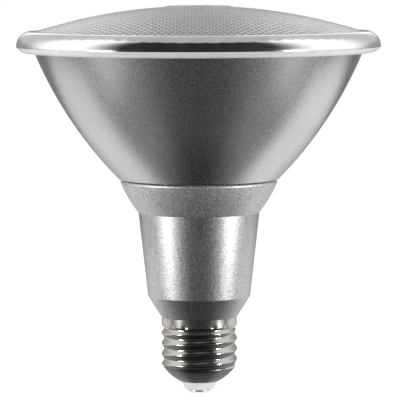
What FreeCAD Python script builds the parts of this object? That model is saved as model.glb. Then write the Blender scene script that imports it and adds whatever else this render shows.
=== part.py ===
import FreeCAD, Part
import math
import os
import re

import Sketcher
from FreeCAD import Placement, Rotation, Vector

# A par spotlight bulb on a standard screw cap, in millimetres.
# Origin: centre of the contact's flat. +Z points to the lens, the lamp stands on its contact.
# Heights are stacked from the contact upwards: cap, foot, cone, collar, bowl, ring, lens.

SIZES = [
    # Overall stack
    ("CapHeight", 26.2, "contact face to the foot of the neck"),
    ("FootHeight", 7.1, "height of the chamfered foot of the neck"),
    ("ConeHeight", 28.8, "height of the slim cone of the neck"),
    ("CollarHeight", 11.6, "height of the collar, up to the bowl"),
    ("BowlHeight", 43.2, "bowl from its floor's underside to the ring's underside"),
    ("RingHeight", 7.3, "front ring, underside to top"),
    ("LensRise", 8.6, "top of the lens above the ring"),
    # Screw shell
    ("ThreadDiameter", 26.05, "over the crests"),
    ("ThreadDepth", 0.83, "crest to root"),
    ("ThreadPitch", 3.63, "distance between turns"),
    ("ThreadLead", 1.2, "lowest crest above the shell's rounded bottom"),
    ("CrestFlat", 0.9, "width of a crest"),
    ("ThreadRoot", 0.8, "width of a root"),
    ("ShellWall", 0.3, "sheet thickness of the shell"),
    ("ShellCollarStep", 0.075, "plain collar above the thread inside the crests"),
    ("ShellCollarHeight", 3.0, "height of the plain collar"),
    ("ShellHem", 13.2, "diameter of the hole in the shell's bottom, outside"),
    ("ShellHemHeight", 3.7, "height of that edge above the contact face"),
    ("ShellBottomHeight", 8.5, "height where the shell's bottom meets its wall"),
    ("ShellKneeInset", 2.5, "knee of the bowed bottom inside the thread's root"),
    ("ShellKneeDrop", 2.73, "knee below the shell's wall"),
    ("ShellTopGap", 0.1, "shell edge below the foot of the neck"),
    # Insulator and contact
    ("ContactFlat", 3.6, "diameter of the contact's flat"),
    ("ContactDiameter", 7.4, "diameter of the contact's head"),
    ("ContactRise", 0.45, "rise from the flat to the rim of the head"),
    ("ContactHead", 0.9, "height of the head"),
    ("RivetDiameter", 3.0, "shank of the contact rivet"),
    ("RivetFlare", 4.8, "flared upper end of the rivet"),
    ("RivetFlareHeight", 0.5, "thickness of the flare"),
    ("RivetFloor", 1.4, "height of the rivet bore's floor"),
    ("RivetFit", 0.15, "clearance round the rivet"),
    ("InsulatorFace", 9.0, "diameter of the insulator's lower face"),
    ("InsulatorNoseFit", 0.4, "clearance of the insulator in the shell's hole, on radius"),
    ("InsulatorShoulderFit", 0.4, "insulator's shoulder inside the shell's knee"),
    ("InsulatorShoulderRise", 2.45, "hem to the shoulder's lower edge"),
    ("InsulatorShoulderHeight", 1.05, "height of the shoulder"),
    ("InsulatorSeat", 0.4, "insulator's cone above the shell's hem"),
    # Neck housing
    ("FootOverhang", 0.125, "foot of the neck beyond the thread's crests"),
    ("ThroatDrop", 1.13, "inner cone ends below the foot of the neck"),
    ("ConeFoot", 35.2, "lower end of the cone"),
    ("ConeTop", 41.6, "upper end of the cone"),
    ("CollarInset", 0.2, "collar's top edge inside the bowl's foot"),
    ("CollarCurve", 42.0, "radius of the collar's flare"),
    ("CollarEdge", 0.7, "bevel of the collar's top edge"),
    ("FootBevel", 0.4, "bevel between foot and cone"),
    ("HousingWall", 1.8, "wall of the moulded housing"),
    ("SpigotFit", 0.1, "clearance between spigot and shell"),
    ("SpigotWall", 1.5, "wall of the spigot in the shell"),
    ("SpigotEnd", 8.9, "height of the spigot's lower end"),
    ("SeamGap", 0.3, "open seam between collar and bowl"),
    ("BossDiameter", 6.0, "screw bosses in the collar"),
    ("BossHeight", 8.5, "height of a screw boss"),
    ("PilotDepth", 7.0, "depth of the hole in a boss"),
    ("WebWidth", 1.6, "web between boss and wall"),
    ("WebDrop", 2.2, "web top below the bowl's floor"),
    ("WebReach", 1.35, "web runs into the wall, beyond the chord of its inner side"),
    ("RibThickness", 1.2, "ribs that hold the driver board"),
    ("RibGrip", 1.1, "how far a rib covers the board's edge"),
    ("RibFit", 0.15, "clearance between rib and board"),
    ("RibFoot", 3.7, "rib foot above the cone's lower end"),
    ("RibHeight", 23.0, "height of the ribs"),
    ("NotchWidth", 2.0, "slot for the neutral lead in the spigot"),
    ("NotchHeight", 2.6, "height of that slot"),
    ("NotchReach", 0.15, "start of that cut outside the spigot"),
    # Bowl
    ("BowlFoot", 55.0, "bowl where it meets the collar"),
    ("FlangeReach", 3.45, "flange beyond the bowl's mouth"),
    ("BowlCurve", 137.0, "radius of the bowl's flare"),
    ("BowlWall", 1.6, "wall of the bowl"),
    ("FloorThickness", 2.0, "floor of the bowl"),
    ("FlangeThickness", 1.6, "flange under the lens"),
    ("LocatorInset", 1.0, "locating rim inside the collar's inner wall"),
    ("LocatorWall", 1.2, "wall of the locating rim"),
    ("LocatorDepth", 1.8, "depth of the locating rim"),
    ("FloorBossDiameter", 6.5, "bosses under the floor for the board's screws"),
    ("FloorBossDepth", 3.0, "depth of those bosses"),
    # Front ring
    ("RingDiameter", 124.6, "across the ring's crisp edge"),
    ("RingEdgeHeight", 2.1, "crisp edge above the ring's underside"),
    ("RingFootInset", 3.8, "flat underside inside the crisp edge"),
    ("RingFootCurve", 4.3, "radius of the ring's lower face"),
    ("RingShoulderInset", 1.3, "shoulder above the bowed face, inside the crisp edge"),
    ("RingShoulderDrop", 1.5, "shoulder below the ring's top"),
    ("RingFaceCurve", 5.5, "radius of the ring's bowed face"),
    ("RingShoulderCurve", 7.0, "radius from the shoulder to the flat top"),
    ("RingTopInset", 3.7, "outer edge of the flat top inside the crisp edge"),
    ("TopLipReach", 2.55, "lip over the lens, from the groove to the ring's mouth"),
    ("TopLip", 1.6, "thickness of the lip over the lens"),
    ("LowerLip", 1.1, "thickness of the lip under the flange"),
    ("RingSide", 2.05, "crisp edge beyond the groove inside the ring"),
    ("RingFit", 0.3, "clearance of lens, gasket and flange in the ring"),
    ("LipFit", 0.3, "clearance between lower lip and bowl"),
    # Lens and gasket
    ("LensEdgeDrop", 0.54, "edge of the dome below the ring's top"),
    ("LensThickness", 3.0, "thickness of the lens in its middle"),
    ("LensRimHeight", 2.0, "thickness of the lens rim"),
    ("LensRimWidth", 2.05, "width of the rim's lower face"),
    ("LensFit", 0.1, "clearance between lens dome and ring"),
    ("PadDiameter", 24.0, "flat pad in the middle of the lens"),
    ("GasketWidth", 1.85, "width of the gasket"),
    # Light-source board
    ("PadThickness", 0.3, "thermal pad"),
    ("PadMargin", 0.5, "thermal pad's edge inside the board's"),
    ("BoardMargin", 2.5, "light-source board's edge inside the bowl's foot"),
    ("LightBoardThickness", 1.6, "its thickness"),
    ("PackageLength", 3.5, "light-emitting package"),
    ("PackageWidth", 2.8, "its width"),
    ("PackageHeight", 0.7, "its height"),
    ("OuterRingShare", 0.64, "outer ring of packages as a share of the board's radius"),
    ("OuterCount", 12, "packages in the outer ring"),
    ("InnerRingShare", 0.34, "inner ring of packages as a share of the board's radius"),
    ("InnerCount", 6, "packages in the inner ring"),
    ("WirePortShare", 0.448, "place of the wire hole as a share of the board's radius"),
    ("WirePortLength", 5.0, "wire hole along X"),
    ("WirePortWidth", 3.0, "wire hole along Y"),
    ("ConnectorLength", 6.0, "connector along X"),
    ("ConnectorWidth", 4.4, "connector along Y"),
    ("ConnectorHeight", 2.5, "connector above the board"),
    ("ConnectorWall", 0.7, "wall over the wire ends"),
    # Screws
    ("ScrewShare", 0.78, "screw circle as a share of the light-source board's radius"),
    ("ScrewCount", 3, "screws of each kind"),
    ("ScrewHead", 5.5, "diameter of the heads"),
    ("ScrewHeadHeight", 1.8, "height of the heads"),
    ("DriveWidth", 2.4, "hexagon drive across its corners"),
    ("DriveDepth", 1.0, "depth of the drive"),
    ("BoardScrew", 3.0, "shank of the board's screws"),
    ("BoardScrewLength", 6.0, "their length under the head"),
    ("HousingScrew", 2.9, "shank of the self-tapping screws"),
    ("HousingScrewLength", 8.0, "their length under the head"),
    ("ScrewFit", 0.15, "clearance round a shank, on radius"),
    ("ThreadFit", 0.02, "clearance of a shank in its own thread, on radius"),
    ("HeadFit", 0.35, "clearance round a sunk head, on radius"),
    # Driver board and leads
    ("LeadDiameter", 1.2, "insulated wires"),
    ("LeadFit", 0.2, "clearance round a wire in a bore, on radius"),
    ("LeadLift", 0.05, "wire above the board's face"),
    ("LeadBend", 3.6, "bend of the neutral lead"),
    ("DriverThickness", 1.6, "driver board"),
    ("DriverWidth", 28.0, "its width in the neck"),
    ("DriverTongue", 18.0, "its width in the cap"),
    ("DriverFoot", 14.0, "height of its lower end"),
    ("DriverTongueHeight", 15.0, "height of the tongue"),
    ("DriverShoulder", 6.0, "height of the slope to the full width"),
    ("DriverHeight", 52.0, "whole height of the driver board"),
    ("OutputPitch", 2.0, "distance between the output wires"),
    ("OutputSolder", 4.0, "output wires lie on the board over this length"),
    ("CapLeadSolder", 4.0, "cap leads lie on the board over this length"),
    ("NeutralSide", -6.0, "place of the neutral lead along X"),
    ("NeutralHeight", 10.4, "height where the neutral lead meets the shell"),
    ("NeutralFit", 0.15, "end of the neutral lead inside the shell's wall"),
    ("PartLift", 0.05, "round parts above the board's face"),
    # Parts of the driver
    ("TransformerHeight", 57.0, "height of the transformer's middle"),
    ("CoreWidth", 16.0, "ferrite core along X"),
    ("CoreHeight", 13.0, "core along Z"),
    ("CoreDepth", 6.0, "core along Y"),
    ("CoreLeg", 5.0, "middle leg along X"),
    ("CoreSideLeg", 2.3, "outer leg along X"),
    ("CoreYoke", 2.3, "yoke along Z"),
    ("BobbinDepth", 10.0, "bobbin along Y"),
    ("BobbinFit", 0.15, "clearance between bobbin and core"),
    ("BobbinWall", 0.6, "wall of the bobbin's tube"),
    ("BobbinFlange", 0.8, "flange of the bobbin"),
    ("WindingInset", 0.3, "winding inside the flange's edge"),
    ("WindingFit", 0.05, "clearance between winding and bobbin"),
    ("WindingBevel", 1.1, "bevelled corners of the winding"),
    ("InputCapDiameter", 10.0, "input capacitor"),
    ("InputCapHeight", 16.0, "its height"),
    ("InputCapSide", 5.4, "its place along X"),
    ("InputCapFoot", 32.0, "height of its lower end"),
    ("OutputCapDiameter", 8.0, "output capacitor"),
    ("OutputCapHeight", 12.0, "its height"),
    ("OutputCapSide", -6.0, "its place along X"),
    ("OutputCapFoot", 35.0, "height of its lower end"),
    ("CapSleeveGroove", 0.3, "depth of a capacitor's rolled groove"),
    ("CapGroovePlace", 2.5, "groove below the upper end"),
    ("FilmLength", 7.5, "film capacitor along X"),
    ("FilmDepth", 5.0, "along Y"),
    ("FilmHeight", 9.0, "along Z"),
    ("FilmSide", 5.0, "its place along X"),
    ("FilmFoot", 18.5, "height of its lower end"),
    ("FilmBevel", 0.7, "its bevelled edges"),
    ("FuseDiameter", 3.6, "fusible resistor"),
    ("FuseHeight", 8.0, "its height"),
    ("FuseSide", -3.4, "its place along X"),
    ("FuseFoot", 21.0, "height of its lower end"),
    ("FuseBevel", 0.7, "its bevelled ends"),
    ("ChokeDiameter", 7.0, "drum of the filter choke"),
    ("ChokeDepth", 7.0, "along Y"),
    ("ChokeCheek", 1.0, "cheek of the drum"),
    ("ChokeWaist", 5.8, "wound diameter"),
    ("ChokeHeight", 56.0, "height of its middle"),
    ("ChipLength", 4.9, "driver chip along Z"),
    ("ChipWidth", 3.9, "along X"),
    ("ChipDepth", 1.5, "along Y"),
    ("ChipHeight", 45.0, "height of its middle"),
    ("ChipPins", 4, "pins on each side of the chip"),
    ("PinPitch", 1.27, "distance between pins"),
    ("PinWidth", 0.4, "width of a pin"),
    ("PinReach", 1.0, "pin beyond the body"),
    ("PinThickness", 0.25, "thickness of a pin"),
    ("BridgeLength", 4.7, "bridge rectifier along Z"),
    ("BridgeWidth", 4.0, "along X"),
    ("BridgeDepth", 2.4, "along Y"),
    ("BridgeHeight", 32.0, "height of its middle"),
    ("BridgePins", 2, "pins on each side of the rectifier"),
    ("BridgePinPitch", 2.5, "distance between its pins"),
    ("VaristorDiameter", 7.0, "surge varistor"),
    ("VaristorDepth", 3.4, "along Y"),
    ("VaristorHeight", 22.0, "height of its middle"),
    ("VaristorBevel", 0.8, "its bevelled rim"),
]

# Heights that follow from the stack
FOOT = "CapHeight"
CONE = "(CapHeight + FootHeight)"
COLLAR = "(CapHeight + FootHeight + ConeHeight)"
FLOOR = "(CapHeight + FootHeight + ConeHeight + CollarHeight)"
RING = f"({FLOOR} + BowlHeight)"
RING_TOP = f"({RING} + RingHeight)"
LENS_TOP = f"({RING_TOP} + LensRise)"
FLANGE = f"({RING} + LowerLip)"
GASKET = f"({FLANGE} + FlangeThickness)"
LENS_RIM_TOP = f"({RING_TOP} - TopLip)"
LENS_RIM = f"({LENS_RIM_TOP} - LensRimHeight)"
FLOOR_TOP = f"({FLOOR} + FloorThickness)"
LIGHT_BOARD = f"({FLOOR_TOP} + PadThickness)"
LIGHT_BOARD_TOP = f"({LIGHT_BOARD} + LightBoardThickness)"

# Radii that follow from other pieces
THREAD_CREST = "(ThreadDiameter / 2)"
THREAD_ROOT = "(ThreadDiameter / 2 - ThreadDepth)"
SHELL_BORE = f"({THREAD_ROOT} - ShellWall)"
SHELL_KNEE = f"({THREAD_ROOT} - ShellKneeInset)"
SPIGOT = f"({SHELL_BORE} - SpigotFit)"
SPIGOT_BORE = f"({SPIGOT} - SpigotWall)"
RING_EDGE = "(RingDiameter / 2)"
RING_GROOVE = f"({RING_EDGE} - RingSide)"
RING_MOUTH = f"({RING_GROOVE} - TopLipReach)"
RIM_IN_RING = f"({RING_GROOVE} - RingFit)"
BOWL_MOUTH = f"({RIM_IN_RING} - FlangeReach)"
LENS_RIM_BORE = f"({RIM_IN_RING} - LensRimWidth)"
COLLAR_TOP = "(BowlFoot / 2 - CollarInset)"
BOARD_EDGE = "(BowlFoot / 2 - BoardMargin)"
SCREWS = f"({BOARD_EDGE} * ScrewShare)"
OUTER_RING = f"({BOARD_EDGE} * OuterRingShare)"
INNER_RING = f"({BOARD_EDGE} * InnerRingShare)"
WIRE_PORT = f"(-{BOARD_EDGE} * WirePortShare)"

INSULATOR_TOP = "(ShellHemHeight + InsulatorShoulderRise + InsulatorShoulderHeight)"

# The driver board stands upright, with its wires on the lamp's axis
BOARD_FACE = "(LeadDiameter / 2 + LeadLift)"
BOARD_BACK = f"({BOARD_FACE} + DriverThickness)"
DRIVER_TOP = "(DriverFoot + DriverHeight)"

doc = FreeCAD.newDocument("SpotlightBulb")
sheet = doc.addObject("Spreadsheet::Sheet", "Sizes")
NAMES = [name for name, number, note in SIZES]
for row, (name, number, note) in enumerate(SIZES, start=1):
    sheet.set(f"A{row}", name)
    sheet.set(f"B{row}", str(number))
    sheet.set(f"C{row}", note)
    sheet.setAlias(f"B{row}", name)
doc.recompute()

NAME_PATTERN = re.compile(r"\b(" + "|".join(sorted(NAMES, key=len, reverse=True)) + r")\b")


def bound(formula):
    """The formula with each size read from the sheet."""
    return NAME_PATTERN.sub(r"Sizes.\1", str(formula))


def number(formula):
    """What the formula gives with the sheet's present values."""
    return float(sheet.evalExpression(str(formula)))


def new_body(label):
    """An empty body that takes the node's name."""
    body = doc.addObject("PartDesign::Body", "".join(word.title() for word in label.split("_")))
    body.Label = label
    body.AllowCompound = True
    return body


def plane(body, role):
    """One of the body's own origin planes."""
    return next(item for item in body.Origin.OriginFeatures if item.Role == role)


def new_sketch(body, name, role="XZ_Plane", offset=None):
    """A sketch on an origin plane, moved along the plane's normal by the offset."""
    sketch = body.newObject("Sketcher::SketchObject", name)
    sketch.AttachmentSupport = [(plane(body, role), "")]
    sketch.MapMode = "FlatFace"
    if offset is not None:
        sketch.setExpression(".AttachmentOffset.Base.z", bound(offset))
    return sketch


def pin(sketch, kind, first, second, formula):
    """A distance or radius that is bound to the sheet."""
    value = number(formula)
    items = [kind, *first, *second, value]
    index = sketch.addConstraint(Sketcher.Constraint(*items))
    sketch.setExpression(f"Constraints[{index}]", bound(formula))
    return index


def place_point(sketch, geometry, end, across, up):
    """Hold a point at its distances from the sketch's origin."""
    for axis, kind, formula in ((-2, "DistanceX", across), (-1, "DistanceY", up)):
        if formula is None:
            continue
        if abs(number(formula)) < 1e-9:
            sketch.addConstraint(Sketcher.Constraint("PointOnObject", geometry, end, axis))
        else:
            pin(sketch, kind, (-1, 1), (geometry, end), formula)


def outline(sketch, corners, arcs=None, guesses=None, centres=None):
    """Draw a closed outline through the corners.

    corners: (across, up) formulas, either of which may be None where the outline itself
    settles it, with a guess for that corner. arcs: side number to (radius, +1 or -1), where
    side n runs from corner n to the next and +1 bows to the left of its direction.
    centres: pairs of sides whose arcs share their centre.
    """
    arcs = arcs or {}
    guesses = guesses or {}
    points = []
    for index, (across, up) in enumerate(corners):
        guess = guesses.get(index, (0.0, 0.0))
        x = number(across) if across is not None else guess[0]
        y = number(up) if up is not None else guess[1]
        points.append(Vector(x, y, 0))
    count = len(points)
    ends = []
    for index in range(count):
        a = points[index]
        b = points[(index + 1) % count]
        if index not in arcs:
            geometry = sketch.addGeometry(Part.LineSegment(a, b), False)
            ends.append((geometry, 1, 2))
            continue
        radius_formula, side = arcs[index]
        radius = number(radius_formula)
        chord = b - a
        middle = (a + b) * 0.5
        left = Vector(-chord.y, chord.x, 0).normalize()
        rise = math.sqrt(max(radius ** 2 - (chord.Length / 2) ** 2, 0.0))
        centre = middle - left * (side * rise)
        circle = Part.Circle(centre, Vector(0, 0, 1), radius)
        start, stop = (b, a) if side > 0 else (a, b)
        angle_a = math.atan2(start.y - centre.y, start.x - centre.x)
        angle_b = math.atan2(stop.y - centre.y, stop.x - centre.x)
        geometry = sketch.addGeometry(Part.ArcOfCircle(circle, angle_a, angle_b), False)
        ends.append((geometry, 2, 1) if side > 0 else (geometry, 1, 2))
    for index in range(count):
        geometry, begin, finish = ends[index]
        following = ends[(index + 1) % count]
        join = Sketcher.Constraint("Coincident", geometry, finish, following[0], following[1])
        sketch.addConstraint(join)
    for index, (across, up) in enumerate(corners):
        place_point(sketch, ends[index][0], ends[index][1], across, up)
    for index, (radius_formula, side) in arcs.items():
        pin(sketch, "Radius", (ends[index][0],), (), radius_formula)
    for first, second in centres or ():
        join = Sketcher.Constraint("Coincident", ends[first][0], 3, ends[second][0], 3)
        sketch.addConstraint(join)
    return [item[0] for item in ends]


def circle(sketch, across, up, radius):
    """A circle at a place that is bound to the sheet."""
    centre = Vector(number(across), number(up), 0)
    shape = Part.Circle(centre, Vector(0, 0, 1), number(radius))
    geometry = sketch.addGeometry(shape, False)
    place_point(sketch, geometry, 3, across, up)
    pin(sketch, "Radius", (geometry,), (), radius)


def rectangle(sketch, left, right, low, high):
    """An upright rectangle between four formulas."""
    outline(sketch, [(left, low), (right, low), (right, high), (left, high)])


def bevelled(sketch, left, right, low, high, cut):
    """An upright rectangle whose four corners are cut off."""
    corners = [
        (f"{left} + {cut}", low),
        (f"{right} - {cut}", low),
        (right, f"{low} + {cut}"),
        (right, f"{high} - {cut}"),
        (f"{right} - {cut}", high),
        (f"{left} + {cut}", high),
        (left, f"{high} - {cut}"),
        (left, f"{low} + {cut}"),
    ]
    outline(sketch, corners)


def revolve(body, sketch, name="Turned"):
    """Turn the sketch round the lamp's axis."""
    feature = body.newObject("PartDesign::Revolution", name)
    feature.Profile = sketch
    feature.ReferenceAxis = (sketch, ["V_Axis"])
    feature.Angle = 360.0
    return feature


def pad(body, sketch, name, length, middle=False, turned=False):
    """Raise the sketch along its normal."""
    feature = body.newObject("PartDesign::Pad", name)
    feature.Profile = sketch
    feature.setExpression("Length", bound(length))
    feature.Midplane = middle
    feature.Reversed = turned
    return feature


def pocket(body, sketch, name, depth, turned=False, middle=False):
    """Sink the sketch, and make sure that it takes material away."""
    doc.recompute()
    before = body.Shape.Volume
    feature = body.newObject("PartDesign::Pocket", name)
    feature.Profile = sketch
    feature.setExpression("Length", bound(depth))
    feature.Midplane = middle
    feature.Reversed = turned
    doc.recompute()
    if body.Shape.Volume >= before - 1e-6:
        raise RuntimeError(f"{body.Label}: {name} cuts nothing")
    return feature


def polar(body, name, features, count):
    """Repeat features round the lamp's axis."""
    pattern = body.newObject("PartDesign::PolarPattern", name)
    pattern.Originals = features
    pattern.Axis = (plane(body, "Z_Axis"), [""])
    pattern.Angle = 360.0
    pattern.setExpression("Occurrences", bound(count))
    body.Tip = pattern
    return pattern


def set_place(item, across, deep, up):
    """Bind where a primitive stands."""
    for axis, formula in zip("xyz", (across, deep, up)):
        item.setExpression(f".Placement.Base.{axis}", bound(formula))


def box(name, size, place):
    """A box with bound sizes whose lowest corner is at the place."""
    item = doc.addObject("Part::Box", name)
    for side, formula in zip(("Length", "Width", "Height"), size):
        item.setExpression(side, bound(formula))
    set_place(item, *place)
    return item


def cylinder(name, radius, height, place):
    """A cylinder that rises along Z."""
    item = doc.addObject("Part::Cylinder", name)
    item.setExpression("Radius", bound(radius))
    item.setExpression("Height", bound(height))
    set_place(item, *place)
    return item


def joined(kind, name, base, tools):
    """Part::Cut, or a Part::MultiFuse of the base and the tools."""
    if kind == "Part::Cut":
        for index, tool in enumerate(tools):
            item = doc.addObject("Part::Cut", f"{name}{index}" if len(tools) > 1 else name)
            item.Base = base
            item.Tool = tool
            base = item
        return base
    item = doc.addObject("Part::MultiFuse", name)
    item.Shapes = [base, *tools]
    return item


def laid_back(body, height):
    """Turn a body that was drawn upright so that it stands out from the board's back."""
    body.Placement = Placement(Vector(0, 0, 0), Rotation(Vector(1, 0, 0), 90))
    set_place(body, "0", f"-{BOARD_BACK}", height)


def sphere_through(edge, rise):
    """Radius of a dome that rises so far over a circle of that radius."""
    return f"(({edge}^2 + ({rise})^2) / (2 * ({rise})))"


def lens():
    """Domed cover: outer and inner dome, a stepped rim under the ring's lip, a flat pad."""
    body = new_body("lens")
    sketch = new_sketch(body, "LensSection")
    edge = f"({RING_MOUTH} - LensFit)"
    edge_top = f"({RING_TOP} - LensEdgeDrop)"
    outer = sphere_through(edge, "LensRise + LensEdgeDrop")
    inside_top = f"({LENS_TOP} - LensThickness)"
    inner = sphere_through(LENS_RIM_BORE, f"{inside_top} - {LENS_RIM}")
    pad_edge = "(PadDiameter / 2)"
    pad_foot = f"({LENS_TOP} - {outer} + sqrt({outer}^2 - {pad_edge}^2))"
    corners = [
        ("0", inside_top),
        (LENS_RIM_BORE, LENS_RIM),
        (RIM_IN_RING, LENS_RIM),
        (RIM_IN_RING, LENS_RIM_TOP),
        (edge, LENS_RIM_TOP),
        (edge, edge_top),
        (pad_edge, pad_foot),
        (pad_edge, LENS_TOP),
        ("0", LENS_TOP),
    ]
    outline(sketch, corners, arcs={0: (inner, 1), 5: (outer, -1)})
    revolve(body, sketch)
    return body


def lens_gasket():
    """Flat silicone ring between the bowl's flange and the lens rim."""
    body = new_body("lens_gasket")
    sketch = new_sketch(body, "GasketSection")
    rectangle(sketch, f"{RIM_IN_RING} - GasketWidth", RIM_IN_RING, GASKET, LENS_RIM)
    revolve(body, sketch)
    return body


def front_ring():
    """Bright ring: a lower face that looks down, a crisp edge, a bowed face and two lips."""
    body = new_body("front_ring")
    sketch = new_sketch(body, "RingSection")
    lip_edge = f"({BOWL_MOUTH} + LipFit)"
    corners = [
        (lip_edge, RING),
        (f"{RING_EDGE} - RingFootInset", RING),
        (RING_EDGE, f"{RING} + RingEdgeHeight"),
        (f"{RING_EDGE} - RingShoulderInset", f"{RING_TOP} - RingShoulderDrop"),
        (f"{RING_EDGE} - RingTopInset", RING_TOP),
        (RING_MOUTH, RING_TOP),
        (RING_MOUTH, LENS_RIM_TOP),
        (RING_GROOVE, LENS_RIM_TOP),
        (RING_GROOVE, FLANGE),
        (lip_edge, FLANGE),
    ]
    arcs = {
        1: ("RingFootCurve", -1),
        2: ("RingFaceCurve", -1),
        3: ("RingShoulderCurve", -1),
    }
    outline(sketch, corners, arcs=arcs)
    revolve(body, sketch)
    return body


def reflector_bowl():
    """Cast bowl: flared wall, flange, floor, locating rim and bosses for the board's screws."""
    body = new_body("reflector_bowl")
    sketch = new_sketch(body, "BowlSection")
    inner_mouth = (number(f"{BOWL_MOUTH} - BowlWall"), number(GASKET))
    inner_foot = (number("BowlFoot / 2"), number(FLOOR_TOP))
    corners = [
        ("0", FLOOR),
        ("BowlFoot / 2", FLOOR),
        (BOWL_MOUTH, FLANGE),
        (RIM_IN_RING, FLANGE),
        (RIM_IN_RING, GASKET),
        (None, GASKET),
        (None, FLOOR_TOP),
        ("0", FLOOR_TOP),
    ]
    outline(
        sketch,
        corners,
        arcs={1: ("BowlCurve", -1), 5: ("BowlCurve - BowlWall", 1)},
        guesses={5: inner_mouth, 6: inner_foot},
        centres=[(1, 5)],
    )
    revolve(body, sketch)

    rim = new_sketch(body, "LocatorSection", "XY_Plane", FLOOR)
    locator = f"({COLLAR_TOP} - HousingWall - LocatorInset)"
    circle(rim, "0", "0", locator)
    circle(rim, "0", "0", f"{locator} - LocatorWall")
    pad(body, rim, "Locator", "LocatorDepth", turned=True)

    boss = new_sketch(body, "FloorBossSection", "XY_Plane", FLOOR)
    circle(boss, SCREWS, "0", "FloorBossDiameter / 2")
    boss_pad = pad(body, boss, "FloorBoss", "FloorBossDepth", turned=True)
    hole = new_sketch(body, "BoardScrewHole", "XY_Plane", FLOOR_TOP)
    circle(hole, SCREWS, "0", "BoardScrew / 2 + ThreadFit")
    boss_hole = pocket(body, hole, "BoardScrewBore", "FloorThickness + FloorBossDepth")
    polar(body, "FloorBosses", [boss_pad, boss_hole], "ScrewCount")

    passage = new_sketch(body, "HousingScrewHole", "XY_Plane", FLOOR_TOP)
    circle(passage, f"-{SCREWS}", "0", "HousingScrew / 2 + ScrewFit")
    passage_cut = pocket(body, passage, "HousingScrewBore", "FloorThickness")
    polar(body, "HousingScrewBores", [passage_cut], "ScrewCount")

    port = new_sketch(body, "WirePortSection", "XY_Plane", FLOOR_TOP)
    wire_port(port)
    pocket(body, port, "WirePortBore", "FloorThickness")
    return body


def wire_port(sketch):
    """Rectangle of the hole that lets the output wires through."""
    rectangle(
        sketch,
        f"{WIRE_PORT} - WirePortLength / 2",
        f"{WIRE_PORT} + WirePortLength / 2",
        "-WirePortWidth / 2",
        "WirePortWidth / 2",
    )


def neck_housing():
    """Moulded housing: collar, cone, foot and spigot, with bosses, webs and board ribs."""
    body = new_body("neck_housing")
    sketch = new_sketch(body, "HousingSection")
    foot_radius = f"({THREAD_CREST} + FootOverhang)"
    slope = f"(ConeFoot / 2 - {foot_radius}) / FootHeight"
    foot_wall = f"HousingWall * sqrt(1 + ({slope})^2)"
    inner_foot = f"(ConeFoot / 2 - {foot_wall})"
    lean = "((ConeTop - ConeFoot) / 2 / ConeHeight)"
    corners = [
        (SPIGOT_BORE, "SpigotEnd"),
        (SPIGOT, "SpigotEnd"),
        (SPIGOT, FOOT),
        (foot_radius, FOOT),
        (f"ConeFoot / 2 - {slope} * FootBevel", f"{CONE} - FootBevel"),
        (f"ConeFoot / 2 + {lean} * FootBevel", f"{CONE} + FootBevel"),
        ("ConeTop / 2", COLLAR),
        (COLLAR_TOP, f"{FLOOR} - SeamGap - CollarEdge"),
        (f"{COLLAR_TOP} - CollarEdge", f"{FLOOR} - SeamGap"),
        (f"{COLLAR_TOP} - HousingWall", f"{FLOOR} - SeamGap"),
        ("ConeTop / 2 - HousingWall", COLLAR),
        (inner_foot, CONE),
        (SPIGOT_BORE, f"{FOOT} - ThroatDrop"),
    ]
    arcs = {6: ("CollarCurve", -1), 9: ("CollarCurve - HousingWall", 1)}
    outline(sketch, corners, arcs=arcs)
    revolve(body, sketch)

    boss_foot = f"({FLOOR} - BossHeight)"
    boss = new_sketch(body, "BossSection", "XY_Plane", boss_foot)
    circle(boss, f"-{SCREWS}", "0", "BossDiameter / 2")
    boss_pad = pad(body, boss, "Boss", "BossHeight")

    wall_run = f"(({COLLAR_TOP} - ConeTop / 2) / (CollarHeight - SeamGap))"
    inner_top = "(ConeTop / 2 - HousingWall + WebReach)"
    low_reach = f"({inner_top} + {wall_run} * (CollarHeight - BossHeight))"
    high_reach = f"({inner_top} + {wall_run} * (CollarHeight - WebDrop))"
    web = new_sketch(body, "WebSection")
    corners = [
        (f"-{SCREWS}", boss_foot),
        (f"-{SCREWS}", f"{FLOOR} - WebDrop"),
        (f"-{high_reach}", f"{FLOOR} - WebDrop"),
        (f"-{low_reach}", boss_foot),
    ]
    outline(web, corners)
    web_pad = pad(body, web, "Web", "WebWidth", middle=True)

    pilot = new_sketch(body, "PilotSection", "XY_Plane", FLOOR)
    circle(pilot, f"-{SCREWS}", "0", "HousingScrew / 2 + ThreadFit")
    pilot_cut = pocket(body, pilot, "Pilot", "PilotDepth")
    polar(body, "Bosses", [boss_pad, web_pad, pilot_cut], "ScrewCount")

    rib_foot = f"({CONE} + RibFoot)"
    rib_top = f"({CONE} + RibFoot + RibHeight)"
    inner = "(DriverWidth / 2 - RibGrip)"
    reach_low = f"(ConeFoot / 2 - HousingWall / 2 + {lean} * RibFoot)"
    reach_high = f"({reach_low} + {lean} * RibHeight)"
    front = f"({BOARD_FACE} - RibFit - RibThickness)"
    back = f"({BOARD_BACK} + RibFit)"
    for name, offset in (("FrontRibs", front), ("BackRibs", back)):
        ribs = new_sketch(body, f"{name}Section", "XZ_Plane", offset)
        for side in ("", "-"):
            corners = [
                (f"{side}{inner}", rib_foot),
                (f"{side}{reach_low}", rib_foot),
                (f"{side}{reach_high}", rib_top),
                (f"{side}{inner}", rib_top),
            ]
            outline(ribs, corners)
        pad(body, ribs, name, "RibThickness")

    notch = new_sketch(body, "NotchSection", "YZ_Plane", f"-{SPIGOT} - NotchReach")
    rectangle(notch, "-NotchWidth / 2", "NotchWidth / 2", "SpigotEnd - NotchReach",
              "SpigotEnd + NotchHeight")
    pocket(body, notch, "Notch", f"{SPIGOT} + NotchReach", turned=True)
    return body


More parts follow.
